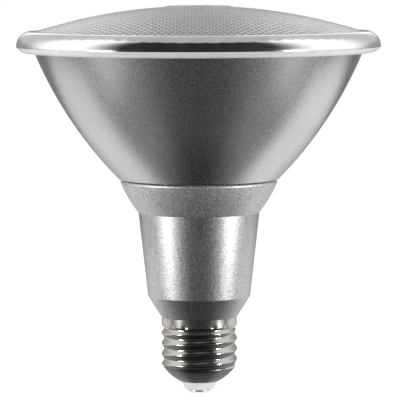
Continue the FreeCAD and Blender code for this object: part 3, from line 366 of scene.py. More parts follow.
# %% Floor in front and behind
FRONT_MIDDLE = 0.06
FRONT_SIDE = 0.30
FRONT_ANGLES = (52.0, 5.0)
BESIDE = 1.10
BEHIND = 0.50
BACK_ANGLES = (165.0, 125.0)
RIGHT_GAIN = 1.08
GAIN_WIDTH = 0.12
EDGE_AT_AXIS = -0.012
EDGE_SLOPE = 0.10
EDGE_SOFTNESS = 0.006

front_level = by_angle(ground, floor_front, FRONT_SIDE, FRONT_MIDDLE, FRONT_ANGLES)
edge = ground.math("MULTIPLY_ADD", aside, EDGE_SLOPE, EDGE_AT_AXIS)
past_edge = ground.math("SUBTRACT", deep, edge)
back = ground.smooth(past_edge, 0.0, 1.0, -EDGE_SOFTNESS, EDGE_SOFTNESS)
back_level = by_angle(ground, floor_front, BEHIND, BESIDE, BACK_ANGLES)
right_gain = ground.smooth(across, 1.0, RIGHT_GAIN, 0.0, GAIN_WIDTH)
back_level = ground.math("MULTIPLY", back_level, right_gain)
mirror = blended(ground, back, front_level, back_level)
print("floor levels:", FRONT_MIDDLE, "in front,", BESIDE, "beside,", BEHIND, "behind")

# %% [markdown]
# Between the bowl's dark middle and its bright sides run paler streaks. A low lamp at each front
# side could give them, but it would light the white floor as well. A strip of floor that only
# mirror rays see brighter leaves the rest alone.

# %% Floor streaks
STRIP_ANGLE = 69.0
STRIP_GLOW = 0.48
STRIP_WIDTH = (0.05, 0.32)
STRIP_REACH = (0.115, 0.155)

off_strip = ground.math("ABSOLUTE", ground.math("SUBTRACT", floor_front, cosine(STRIP_ANGLE)))
strip = ground.smooth(off_strip, STRIP_GLOW, 0.0, *STRIP_WIDTH)
strip_reach = ground.smooth(away, 0.0, 1.0, *STRIP_REACH)
in_front = ground.math("SUBTRACT", 1.0, back)
strip = ground.math("MULTIPLY", ground.math("MULTIPLY", strip, strip_reach), in_front)
mirror = ground.math("ADD", mirror, strip)
print("streaks lie", STRIP_ANGLE, "degrees round from the camera")

# %% [markdown]
# The levels also change with distance: past the rim at the sides, far away, and close round the
# foot, where the lamp shades its own floor. One falloff for all would be shorter, but each piece
# mirrors a stretch of its own, so each stretch gets its own limits.

# %% Floor with distance
SIDE_DIM = 0.10
SIDE_LEAN = 0.6
ROUND_OFFSET = 0.15
DIM_REACH = (0.190, 0.230)
FAR_GLOW = 0.25
FAR_REACH = (0.45, 0.70)
NEAR_FRONT = 0.12
NEAR_SIDE = 0.32
NEAR_ANGLES = (75.0, 25.0)
NEAR_REACH = (0.030, 0.070)

outward = ground.math("MULTIPLY_ADD", deep, -SIDE_LEAN, aside)
past_bowl = ground.math("MAXIMUM", outward, ground.math("ADD", away, -ROUND_OFFSET))
dim_side = ground.smooth(past_bowl, 1.0, SIDE_DIM, *DIM_REACH)
mirror = ground.math("MULTIPLY", mirror, blended(ground, back, 1.0, dim_side))
far = ground.smooth(away, 0.0, 1.0, *FAR_REACH)
distant = by_angle(ground, floor_front, FAR_GLOW, DARK_FRONT, SIDE_ANGLES)
mirror = blended(ground, far, mirror, distant)
near_least = by_angle(ground, floor_front, NEAR_SIDE, NEAR_FRONT, NEAR_ANGLES)
near = ground.smooth(away, near_least, 1.0, *NEAR_REACH)
mirror = ground.math("MULTIPLY", mirror, near)
print("floor dims from", DIM_REACH[0], "m at the sides and from", FAR_REACH[0], "m all round")

# %% [markdown]
# To the camera the floor is an even white that still shows the soft shadow. Glow alone would
# lose the shadow, and paint alone would not be white everywhere. So the floor is both: a glow,
# and a grey coat that takes the shadow.

# %% Floor surface
FLOOR_GLOW = 0.72
FLOOR_COLOUR = 0.42

glossy = ground.add("ShaderNodeLightPath").outputs["Is Glossy Ray"]
glow = blended(ground, glossy, FLOOR_GLOW, mirror)
grey = ground.math("MULTIPLY", ground.math("SUBTRACT", 1.0, glossy), FLOOR_COLOUR)
floor_colour = ground.add("ShaderNodeCombineXYZ", {0: grey, 1: grey, 2: grey})
emission = ground.add("ShaderNodeEmission", {"Color": (1, 1, 1, 1), "Strength": glow})
diffuse = ground.add("ShaderNodeBsdfDiffuse", {"Color": floor_colour.outputs[0]})
both = ground.add("ShaderNodeAddShader", {0: emission, 1: diffuse})
ground.add("ShaderNodeOutputMaterial", {"Surface": both})
floor.data.materials.append(floor_material)
print("floor nodes:", len(floor_material.node_tree.nodes))

# %% [markdown]
# Two low soft boxes stand at the front sides. They leave the bright stripes on the neck and
# light the floor round the foot. Glowing cards would do the same; area lamps give it with less
# noise, and their size and place are plain numbers.

# %% Lamps
BOX_ANGLE = 62.0
BOX_WATTS = 9.5
BOX_WIDTH = 0.24
BOX_HEIGHT = 0.07
BOX_DISTANCE = 1.2
AIM_LEVEL = 0.07


def soft_box(name, place):
    """A rectangular soft light that faces the lamp's middle."""
    data = bpy.data.lights.new(name, "AREA")
    data.shape = "RECTANGLE"
    data.size = BOX_WIDTH
    data.size_y = BOX_HEIGHT
    data.energy = BOX_WATTS
    box = bpy.data.objects.new(name, data)
    bpy.context.scene.collection.objects.link(box)
    box.location = place
    aim = Vector((0, 0, AIM_LEVEL)) - Vector(place)
    box.rotation_euler = aim.to_track_quat("-Z", "Y").to_euler()
    print(name, "at", tuple(round(value, 3) for value in place))


for name, sign in (("box_left", -1), ("box_right", 1)):
    to_side = sign * BOX_DISTANCE * math.sin(math.radians(BOX_ANGLE))
    soft_box(name, (to_side, -BOX_DISTANCE * cosine(BOX_ANGLE), BOX_HEIGHT / 2))

# %% [markdown]
# ## Silver lacquer
# Bowl, neck and collar carry aluminium-coloured lacquer over a surface as fine as sand, each a
# little duller than the one before. A picture could be laid on them; a noise in the piece's own
# coordinates has no seam at any size. Metal flakes make the coat a metal to light, so the noise
# dapples the base colour, and it changes roughness and slope a little with it.

# %% Silver lacquer
GRAIN = 0.42 * MM
GRAIN_STRENGTH = 0.35
GRAIN_DEPTH = 0.05 * MM
DRIFT_SCALE = 45.0
NOISE_RANGE = (0.30, 0.70)
DRIFT_RANGE = (0.35, 0.65)
DRIFT_TONE = (0.97, 1.03)
SMOOTHER = 0.05
ROUGHER = 0.07


def silver_lacquer(name, colour, roughness, dapple):
    """Satin metallic lacquer with a sandy grain, lighter and darker by the dapple's share."""
    material, graph, shader = new_material(name)
    point = object_point(graph)
    grain = noise(graph, point, 1 / GRAIN, 2.0)
    drift = noise(graph, point, DRIFT_SCALE, 2.0)
    tone = graph.smooth(grain, 1 - dapple, 1 + dapple, *NOISE_RANGE)
    broad = graph.smooth(drift, *DRIFT_TONE, *DRIFT_RANGE)
    tint(graph, shader, colour, graph.math("MULTIPLY", tone, broad))
    shader.inputs["Metallic"].default_value = 1.0
    rough = graph.smooth(grain, roughness - SMOOTHER, roughness + ROUGHER, *NOISE_RANGE)
    graph.feed(shader.inputs["Roughness"], rough)
    bump(graph, shader, grain, GRAIN_STRENGTH, GRAIN_DEPTH)
    return material


bowl_finish = silver_lacquer("silver_lacquer", (0.52, 0.52, 0.525), 0.28, 0.16)
neck_finish = silver_lacquer("silver_lacquer_neck", (0.48, 0.48, 0.485), 0.36, 0.22)
collar_finish = silver_lacquer("silver_lacquer_collar", (0.50, 0.50, 0.505), 0.52, 0.36)
print("lacquers:", bowl_finish.name, neck_finish.name, collar_finish.name)

# %% [markdown]
# ## Bright metals
# The ring is polished, the cap's shell and contact are plated, and the bowl is bright inside.
# Turning and rolling leave faint rings on such sheet, which a scratched picture or a shader
# with a grain direction could show. A noise that changes with the height alone draws them as
# true rings, and a second noise clouds them a little.

# %% Bright metals
MARK_SHARE = 0.4
CLOUD_SCALE = 140.0
METAL_GLOSS = (0.7, 1.5)
METAL_TONE = (0.93, 1.03)
MARK_STRENGTH = 0.08
MARK_DEPTH = 0.02 * MM


def bright_metal(name, colour, roughness, streak):
    """Plated or polished sheet with faint turning marks round the axis."""
    material, graph, shader = new_material(name)
    point = object_point(graph)
    parts = graph.add("ShaderNodeSeparateXYZ", {0: point})
    height = graph.add("ShaderNodeCombineXYZ", {2: parts.outputs[2]})
    marks = noise(graph, height, streak, 3.0)
    cloud = noise(graph, point, CLOUD_SCALE, 3.0)
    mixed = graph.math("MULTIPLY", marks, MARK_SHARE)
    mixed = graph.math("MULTIPLY_ADD", cloud, 1 - MARK_SHARE, mixed)
    smoothest, roughest = METAL_GLOSS
    rough = graph.smooth(mixed, roughness * smoothest, roughness * roughest, *NOISE_RANGE)
    graph.feed(shader.inputs["Roughness"], rough)
    tint(graph, shader, colour, graph.smooth(mixed, *METAL_TONE, *NOISE_RANGE))
    shader.inputs["Metallic"].default_value = 1.0
    bump(graph, shader, marks, MARK_STRENGTH, MARK_DEPTH)
    return material


ring_finish = bright_metal("polished_ring", (0.86, 0.86, 0.87), 0.10, 2500.0)
inside_finish = bright_metal("bright_inside", (0.88, 0.88, 0.885), 0.22, 0.0)
cap_finish = bright_metal("nickel_plate", (0.47, 0.45, 0.43), 0.14, 1800.0)
contact_finish = bright_metal("contact_plate", (0.78, 0.77, 0.75), 0.22, 1800.0)
print("metals:", ring_finish.name, inside_finish.name, cap_finish.name, contact_finish.name)

# %% [markdown]
# ## Plain finishes
# The cap's nose, the ring's rolled edge and all that lies inside are plain: moulded, coated or
# painted. Each could have a recipe of its own. One recipe with a fine texture and a slight
# change of tone is enough for them, and none of them comes out as a flat colour.

# %% Plain finishes
MOULD_GRAIN = 0.3 * MM
MOULD_STRENGTH = 0.3
MOULD_DEPTH = 0.01 * MM
MOULD_CLOUD = 160.0
MOULD_TONE = (0.92, 1.05)
MOULD_SPREAD = 0.05


def moulded(name, colour, roughness, metallic=0.0):
    """A plain piece with a fine texture and slight change of tone."""
    material, graph, shader = new_material(name)
    point = object_point(graph)
    fine = noise(graph, point, 1 / MOULD_GRAIN, 3.0)
    cloud = noise(graph, point, MOULD_CLOUD, 2.0)
    tint(graph, shader, colour, graph.smooth(cloud, *MOULD_TONE, *NOISE_RANGE))
    smoothest = roughness - MOULD_SPREAD
    rough = graph.smooth(fine, smoothest, roughness + MOULD_SPREAD, *NOISE_RANGE)
    graph.feed(shader.inputs["Roughness"], rough)
    shader.inputs["Metallic"].default_value = metallic
    bump(graph, shader, fine, MOULD_STRENGTH, MOULD_DEPTH)
    return material


rolled_finish = moulded("rolled_edge", (0.60, 0.60, 0.60), 0.42, metallic=0.45)
insulator_finish = moulded("white_insulator", (0.52, 0.52, 0.51), 0.35)
print("plain finishes:", rolled_finish.name, insulator_finish.name)

# %% [markdown]
# ## Front ring
# A bright trim ring holds the lens. Its lower face looks down, a crisp edge runs round at its
# widest, and the bowed face above it rolls into a flat top that laps over the lens. A bevel
# could round a plain ring; as a turned section, each bow has its own radius. The row of small
# crimps at its shoulder is pressed in afterwards, point by point.

# %% Front ring
LOWER_LIP = 1.1 * MM
TOP_LIP = 1.6 * MM
RING_FIT = 0.3 * MM
EDGE_RISE = 2.1 * MM
FOOT_INSET = 3.8 * MM
SHOULDER_INSET = 1.3 * MM
SHOULDER_DROP = 1.5 * MM
FLAT_INSET = 3.7 * MM
LOWER_BOW = 4.3 * MM
FACE_BOW = 5.5 * MM
ROLL_BOW = 7 * MM
RIM_CRIMPS = 74
RIM_CRIMP_DEPTH = 0.12 * MM
RIM_CRIMP_FROM = 0.8 * MM
RIM_CRIMP_LENGTH = 1.6 * MM
BOWL_MOUTH = 56.5 * MM
RING_MOUTH = 57.7 * MM
FACING_DOWN = -0.2


def levels(node):
    """Lowest and highest level of a node, and its outer radius."""
    low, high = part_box(node)
    return low[2], high[2], (high[0] - low[0]) / 2


ring_low, ring_high, ring_radius = levels("front_ring")
lens_low, lens_high, lens_radius = levels("lens")
flange_foot = ring_low + LOWER_LIP
ring_inside = lens_radius + RING_FIT
lip_edge = BOWL_MOUTH + RING_FIT
ring_edge = (ring_radius, ring_low + EDGE_RISE)
ring_foot = (ring_radius - FOOT_INSET, ring_low)
ring_shoulder = (ring_radius - SHOULDER_INSET, ring_high - SHOULDER_DROP)
ring_flat = (ring_radius - FLAT_INSET, ring_high)

ring_section = [(lip_edge, ring_low), ring_foot]
ring_section += arc(ring_foot, ring_edge, LOWER_BOW, side=-1, steps=10)
ring_section += arc(ring_edge, ring_shoulder, FACE_BOW, side=-1, steps=12)
ring_section += arc(ring_shoulder, ring_flat, ROLL_BOW, side=-1, steps=8)
ring_section += [(RING_MOUTH, ring_high), (RING_MOUTH, ring_high - TOP_LIP)]
ring_section += [(ring_inside, ring_high - TOP_LIP), (ring_inside, flange_foot)]
ring_section += [(lip_edge, flange_foot)]
ring = turned("bright_ring", ring_section, around=8 * RIM_CRIMPS)
for vertex in ring.data.vertices:
    x, y, z = vertex.co
    share = (ring_radius - math.hypot(x, y) - RIM_CRIMP_FROM) / RIM_CRIMP_LENGTH
    if 0 < share < 1 and z > ring_edge[1]:
        wave = 0.5 - 0.5 * math.cos(RIM_CRIMPS * math.atan2(y, x))
        vertex.co.z -= RIM_CRIMP_DEPTH * math.sin(math.pi * share) * wave
ring.data.materials.append(ring_finish)
ring.data.materials.append(rolled_finish)
for face in ring.data.polygons:
    if face.center.z < ring_edge[1] and face.normal.z < FACING_DOWN:
        face.material_index = 1
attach(ring, "root")
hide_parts("front_ring")

# %% [markdown]
# ## Bowl
# The bowl is one flared piece of metal with a flange for the lens and a locating rim under its
# floor. A surface through a few rings could give the flare. The real one is a single arc from
# foot to mouth, so the section takes that arc, and the same arc one wall in for its inside. It
# is lacquered outside and left bright inside, to throw the light forward.

# %% Bowl
BOWL_FLOOR = 2.0 * MM
BOWL_FOOT = 27.5 * MM
BOWL_CURVE = 137 * MM
BOWL_WALL = 1.6 * MM
FLANGE_THICKNESS = 1.6 * MM
LOCATOR_OUTER = 24.5 * MM
LOCATOR_INNER = 23.3 * MM
LOCATOR_DEPTH = 1.8 * MM
BOWL_STEPS = 40
FINE_TURN = 256
INSIDE_MARGIN = 0.1 * MM
FACING_UP = 0.9

floor_top = levels("thermal_pad")[0]
floor_foot = floor_top - BOWL_FLOOR
flange_top = flange_foot + FLANGE_THICKNESS


def inner_arc(start, end, radius, inset, low, high, steps):
    """Points down the arc from start to end, set in by one wall, between two levels."""
    a = Vector(start)
    b = Vector(end)
    chord = b - a
    left = Vector((-chord.y, chord.x)).normalized()
    centre = (a + b) / 2 + left * math.sqrt(radius ** 2 - (chord.length / 2) ** 2)
    inner = radius - inset
    points = []
    for step in range(steps + 1):
        height = high + (low - high) * step / steps
        points.append((centre.x + math.sqrt(inner ** 2 - (height - centre.y) ** 2), height))
    return points


bowl_start = (BOWL_FOOT, floor_foot)
bowl_end = (BOWL_MOUTH, flange_foot)
bowl_section = [(0, floor_foot), (LOCATOR_INNER, floor_foot)]
bowl_section += [(LOCATOR_INNER, floor_foot - LOCATOR_DEPTH)]
bowl_section += [(LOCATOR_OUTER, floor_foot - LOCATOR_DEPTH), (LOCATOR_OUTER, floor_foot)]
bowl_section += [bowl_start]
bowl_section += arc(bowl_start, bowl_end, BOWL_CURVE, side=-1, steps=BOWL_STEPS)
bowl_section += [(lens_radius, flange_foot), (lens_radius, flange_top)]
bowl_section += inner_arc(bowl_start, bowl_end, BOWL_CURVE, BOWL_WALL, floor_top, flange_top,
                          BOWL_STEPS)
bowl_section += [(0, floor_top)]
bowl = turned("lacquered_bowl", bowl_section, around=FINE_TURN)
bowl.data.materials.append(bowl_finish)
bowl.data.materials.append(inside_finish)
for face in bowl.data.polygons:
    x, y, z = face.center
    turned_out = x * face.normal.x + y * face.normal.y
    if z > floor_top - INSIDE_MARGIN and (turned_out < 0 or face.normal.z > FACING_UP):
        face.material_index = 1
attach(bowl, "root")
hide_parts("reflector_bowl")

# %% [markdown]
# ## Neck
# Collar, slim cone, foot and the spigot inside the cap are one moulding. They could be turned
# one by one and joined, but then their seams would have to be closed; one section from spigot
# to collar has none. The collar is a little duller than the cone and has its own finish.

# %% Neck
FOOT_HEIGHT = 7.1 * MM
CONE_HEIGHT = 28.8 * MM
NECK_GAP = 0.1 * MM
SEAM = 0.3 * MM
WALL = 1.8 * MM
FOOT_BLEND = 0.9 * MM
COLLAR_EDGE = 0.8 * MM
FOOT_RADIUS = 13.15 * MM
CONE_LOW_RADIUS = 17.6 * MM
CONE_HIGH_RADIUS = 20.8 * MM
COLLAR_RADIUS = 27.3 * MM
COLLAR_BOW = 42 * MM
COLLAR_INNER_BOW = 40.2 * MM
SPIGOT_RADIUS = 11.8 * MM
SPIGOT_BORE = 10.3 * MM
CONE_INSET = 2.12 * MM
BORE_TOP_DROP = 8.2 * MM

neck_low = levels("neck_housing")[0]
shell_low, shell_high, shell_radius = levels("screw_shell")
cap_top = shell_high + NECK_GAP
cone_foot = (CONE_LOW_RADIUS, cap_top + FOOT_HEIGHT)
cone_top = (CONE_HIGH_RADIUS, cap_top + FOOT_HEIGHT + CONE_HEIGHT)
collar_top = (COLLAR_RADIUS, floor_foot - SEAM)
foot = (FOOT_RADIUS, cap_top)


def rounded(before, corner, after, radius, steps):
    """Round a corner between two straight runs."""
    c = Vector(corner)
    u = (Vector(before) - c).normalized()
    v = (Vector(after) - c).normalized()
    half = math.acos(max(-1.0, min(1.0, u.dot(v)))) / 2
    reach = radius / math.tan(half)
    centre = c + (u + v).normalized() * radius / math.sin(half)
    return circle_points(centre, c + u * reach, c + v * reach, radius, steps)


collar_arc = arc(cone_top, collar_top, COLLAR_BOW, side=-1, steps=24)
edge_inside = (collar_top[0] - WALL, collar_top[1])
cone_inside = (cone_top[0] - WALL, cone_top[1])
neck_section = [(SPIGOT_BORE, neck_low), (SPIGOT_RADIUS, neck_low), (SPIGOT_RADIUS, cap_top)]
neck_section += [foot]
neck_section += rounded(foot, cone_foot, cone_top, FOOT_BLEND, steps=10)
neck_section += [cone_top]
neck_section += collar_arc[:-2]
neck_section += rounded(collar_arc[-3], collar_top, edge_inside, COLLAR_EDGE, steps=6)
neck_section += [edge_inside]
neck_section += arc(edge_inside, cone_inside, COLLAR_INNER_BOW, side=1, steps=16)
neck_section += [(cone_foot[0] - CONE_INSET, cone_foot[1])]
neck_section += [(SPIGOT_BORE, cone_foot[1] - BORE_TOP_DROP)]
neck = turned("lacquered_neck", neck_section, around=FINE_TURN)
neck.data.materials.append(neck_finish)
neck.data.materials.append(collar_finish)
for face in neck.data.polygons:
    if face.center.z > cone_top[1]:
        face.material_index = 1
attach(neck, "root")
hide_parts("neck_housing")

# %% [markdown]
# ## Cap shell
# The shell is thin plated sheet with its thread rolled in, so the same wave runs inside and
# out. A profile swept along a helix could give the thread, but it would have to be closed at
# both ends and joined to the shell. So the smooth shell is turned first, and a node tree then
# pushes each point out by the wave at its height and angle, and presses the small crimps in.

# %% Cap shell
THREAD_PITCH = 3.629 * MM
THREAD_DEPTH = 0.83 * MM
THREAD_FADE = 1.6 * MM
FIRST_CREST = 18.6 * MM
SHELL_WALL = 0.3 * MM
HEM_RADIUS = 6.6 * MM
BOTTOM_LEVEL = 8.5 * MM
BOTTOM_CURVE = 16.0 * MM
COLLAR_HEIGHT = 3.0 * MM
COLLAR_STEP = 0.6 * MM
SHELL_COLLAR = 12.95 * MM
THREAD_LOW = 8.3 * MM
THREAD_HIGH = 22.4 * MM
CAP_CRIMPS = 16
CRIMP_LEVEL = 23.5 * MM
CRIMP_DEPTH = 0.22 * MM
CRIMP_HEIGHT = 0.9 * MM
CRIMP_WIDTH = 0.35
WALL_ROWS = 96
COLLAR_ROWS = 16
BOTTOM_STEPS = 12
SHELL_TURN = 160
SHELL_CRISP = 60

root_radius = shell_radius - THREAD_DEPTH
inner_root = root_radius - SHELL_WALL
collar_foot = shell_high - COLLAR_HEIGHT


def shell_side(radius, low, high, rows):
    """Points up a straight wall."""
    return [(radius, low + (high - low) * row / rows) for row in range(rows + 1)]


hem = (HEM_RADIUS, shell_low)
hem_inside = (HEM_RADIUS, shell_low + SHELL_WALL)
bottom_end = (root_radius, BOTTOM_LEVEL)
bottom_inside = (inner_root, BOTTOM_LEVEL)
inner_curve = BOTTOM_CURVE - SHELL_WALL
outer_bottom = [hem] + arc(hem, bottom_end, BOTTOM_CURVE, side=-1, steps=BOTTOM_STEPS)
inner_bottom = arc(bottom_inside, hem_inside, inner_curve, side=1, steps=BOTTOM_STEPS)
outer_wall = shell_side(root_radius, BOTTOM_LEVEL, collar_foot - COLLAR_STEP, WALL_ROWS)[1:]
outer_collar = shell_side(SHELL_COLLAR, collar_foot, shell_high, COLLAR_ROWS)
inner_collar = [(radius - SHELL_WALL, level) for radius, level in reversed(outer_collar)]
inner_wall = [(radius - SHELL_WALL, level) for radius, level in reversed(outer_wall)]
shell_section = outer_bottom + outer_wall + outer_collar + inner_collar + inner_wall
shell_section += [bottom_inside] + inner_bottom
shell = turned("threaded_shell", shell_section, around=SHELL_TURN, crisp=SHELL_CRISP)

# %% [markdown]
# A tree takes its measures as inputs, so that it can be used again with others. Thread and
# lenslets start and end alike, and these helpers make the start, the end, and the run of a
# tree on its piece. A modifier could stay on the piece; here the result is kept as a plain mesh.


# %% Geometry trees
def new_tree(name, measures):
    """A geometry tree with inputs for its measures and finish; its graph and its inputs."""
    tree = bpy.data.node_groups.new(name, "GeometryNodeTree")
    sockets = tree.interface
    sockets.new_socket("Geometry", in_out="INPUT", socket_type="NodeSocketGeometry")
    for measure in measures:
        sockets.new_socket(measure, in_out="INPUT", socket_type="NodeSocketFloat")
    sockets.new_socket("Finish", in_out="INPUT", socket_type="NodeSocketMaterial")
    sockets.new_socket("Geometry", in_out="OUTPUT", socket_type="NodeSocketGeometry")
    graph = Graph(tree)
    return graph, graph.add("NodeGroupInput").outputs


def end_tree(graph, given, move):
    """Shift each point, give the finish and hand the mesh out."""
    moved = graph.add("GeometryNodeSetPosition", {"Geometry": given["Geometry"], "Offset": move})
    real = graph.add("GeometryNodeRealizeInstances", {"Geometry": moved})
    painted = graph.add("GeometryNodeSetMaterial", {"Geometry": real, "Material": given["Finish"]})
    graph.add("NodeGroupOutput", {"Geometry": painted})
    return graph.tree


def grown(piece, tree, values):
    """Run a tree on a piece and keep the result as its plain mesh."""
    modifier = piece.modifiers.new("Grow", "NODES")
    modifier.node_group = tree
    for item in tree.interface.items_tree:
        if item.in_out == "INPUT" and item.name in values:
            modifier[item.identifier] = values[item.name]
    bpy.context.view_layer.update()
    graph = bpy.context.evaluated_depsgraph_get()
    mesh = bpy.data.meshes.new_from_object(piece.evaluated_get(graph))
    piece.modifiers.remove(modifier)
    piece.data = mesh
    mesh.name = piece.name
    print(piece.name, "now has", len(mesh.polygons), "faces")


# %% [markdown]
# The thread's wave counts turns: the height over one crest in pitches, less the share of a turn
# round the axis. That makes it a right-hand screw, as on the real cap. A texture would only
# shade it, while a moved surface also gives the thread its outline.


# %% Thread
def thread_tree():
    """Geometry nodes that roll the thread and press the crimps."""
    graph, given = new_tree("RolledThread", ("Pitch", "Depth", "Crest", "Low", "High",
                                             "CrimpLevel", "CrimpDepth", "Crimps"))
    place = graph.add("GeometryNodeInputPosition")
    parts = graph.add("ShaderNodeSeparateXYZ", {0: place}).outputs
    angle = graph.math("ARCTAN2", parts[1], parts[0])
    turn = graph.math("DIVIDE", angle, 2 * math.pi)
    height = graph.math("SUBTRACT", parts[2], given["Crest"])
    turns = graph.math("DIVIDE", height, given["Pitch"])
    phase = graph.math("SUBTRACT", turns, turn)
    wave = graph.math("COSINE", graph.math("MULTIPLY", phase, 2 * math.pi))
    lift = graph.math("MULTIPLY_ADD", wave, 0.5, 0.5)
    low_end = graph.math("ADD", given["Low"], THREAD_FADE)
    high_end = graph.math("SUBTRACT", given["High"], THREAD_FADE)
    start = graph.smooth(parts[2], 0.0, 1.0, given["Low"], low_end)
    stop = graph.smooth(parts[2], 1.0, 0.0, high_end, given["High"])
    amount = graph.math("MULTIPLY", graph.math("MULTIPLY", start, stop), lift)
    push = graph.math("MULTIPLY", amount, given["Depth"])
    around = graph.math("COSINE", graph.math("MULTIPLY", angle, given["Crimps"]))
    dot = graph.smooth(around, 0.0, 1.0, CRIMP_WIDTH, 1.0)
    offset = graph.math("ABSOLUTE", graph.math("SUBTRACT", parts[2], given["CrimpLevel"]))
    close = graph.smooth(offset, 1.0, 0.0, 0.0, CRIMP_HEIGHT)
    dent = graph.math("MULTIPLY", graph.math("MULTIPLY", dot, close), given["CrimpDepth"])
    total = graph.math("SUBTRACT", push, dent)
    flat = graph.add("ShaderNodeCombineXYZ", {0: parts[0], 1: parts[1]})
    outwards = graph.add("ShaderNodeVectorMath", {0: flat}, operation="NORMALIZE")
    move = graph.add("ShaderNodeVectorMath", {0: outwards, "Scale": total}, operation="SCALE")
    return end_tree(graph, given, move)


grown(shell, thread_tree(), {
    "Pitch": THREAD_PITCH, "Depth": THREAD_DEPTH, "Crest": FIRST_CREST,
    "Low": THREAD_LOW, "High": THREAD_HIGH, "CrimpLevel": CRIMP_LEVEL,
    "CrimpDepth": CRIMP_DEPTH, "Crimps": float(CAP_CRIMPS), "Finish": cap_finish,
})
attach(shell, "root")
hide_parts("screw_shell")

# %% [markdown]
# ## Insulator and contact
# A light insulating nose closes the shell, and the plated contact rivet goes through it. Cones
# and cylinders with bevels could be put together for them. Both are turned pieces, so a plain
# section each gives them whole, with the domed face that the lamp stands on.

# %% Insulator and contact
RIVET_BORE = 1.65 * MM
NOSE_FACE = 4.2 * MM
NOSE_CORNER = 4.5 * MM
NOSE_RADIUS = 6.2 * MM
NOSE_ROUNDING = 0.5 * MM
NOSE_SEAT = 0.4 * MM
NOSE_FLARE = 2.45 * MM
insulator_low, insulator_high, insulator_radius = levels("cap_insulator")
nose_corner = (NOSE_CORNER, insulator_low)
nose_side = (NOSE_RADIUS, shell_low)
nose = [(RIVET_BORE, insulator_low), (NOSE_FACE, insulator_low)]
nose += rounded((0, insulator_low), nose_corner, nose_side, NOSE_ROUNDING, steps=5)[1:]
nose += [nose_side, (NOSE_RADIUS, shell_low + NOSE_SEAT)]
nose += [(insulator_radius, shell_low + NOSE_FLARE), (insulator_radius, insulator_high)]
nose += [(RIVET_BORE, insulator_high)]
insulator = turned("white_nose", nose, around=128)
insulator.data.materials.append(insulator_finish)
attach(insulator, "root")
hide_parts("cap_insulator")

FACE_FLAT = 1.6 * MM
DOME_POINTS = ((1.8 * MM, 0.01 * MM), (2.6 * MM, 0.14 * MM))
DOME_RISE = 0.45 * MM
SHANK = 1.5 * MM
HEAD = 2.4 * MM
RIVET_HOLE = 0.8 * MM
HOLE_FOOT = 1.4 * MM
contact_low, contact_high, contact_radius = levels("centre_contact")
rivet = [(0, contact_low), (FACE_FLAT, contact_low)]
rivet += [(radius, contact_low + rise) for radius, rise in DOME_POINTS]
rivet += [(contact_radius, contact_low + DOME_RISE), (contact_radius, insulator_low)]
rivet += [(SHANK, insulator_low), (SHANK, insulator_high), (HEAD, insulator_high)]
rivet += [(HEAD, contact_high), (RIVET_HOLE, contact_high), (RIVET_HOLE, HOLE_FOOT)]
rivet += [(0, HOLE_FOOT)]
contact = turned("contact_rivet", rivet, around=96)
contact.data.materials.append(contact_finish)
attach(contact, "root")
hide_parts("centre_contact")

# %% [markdown]
# ## Lens
# The glass is a shallow dome, smooth outside, with a flat pad in the middle. Inside it is
# pressed into close hexagonal lenslets that spread the light. One lenslet could be copied and
# joined, but that leaves thousands of seams. Instead, the inside is laid out as a square grid
# bent into a disc, fine enough for a tree to sink a small dome into each cell.

# %% Lens
LENS_CURVE = 186 * MM
LENS_THICKNESS = 3.0 * MM
PAD_RADIUS = 12.0 * MM
PAD_SLOPE = 1.6 * MM
LENS_FIT = 0.1 * MM
GRID = 250
DOME_ROWS = 12
AT_CENTRE = 1e-9

dome_centre = lens_high - LENS_CURVE
lens_edge = RING_MOUTH - LENS_FIT
rim_top = ring_high - TOP_LIP
inner_sphere = LENS_CURVE - LENS_THICKNESS
rim_bore = math.sqrt(inner_sphere ** 2 - (lens_low - dome_centre) ** 2)


def dome_level(radius, sphere):
    """Height of a sphere about the dome's centre at a radius."""
    return dome_centre + math.sqrt(sphere ** 2 - radius ** 2)


def disc_point(u, v):
    """Bend a point of the square -1..1 into the unit disc."""
    if abs(u) < AT_CENTRE and abs(v) < AT_CENTRE:
        return 0.0, 0.0
    if abs(u) >= abs(v):
        return u * math.cos(math.pi / 4 * v / u), u * math.sin(math.pi / 4 * v / u)
    return v * math.sin(math.pi / 4 * u / v), v * math.cos(math.pi / 4 * u / v)


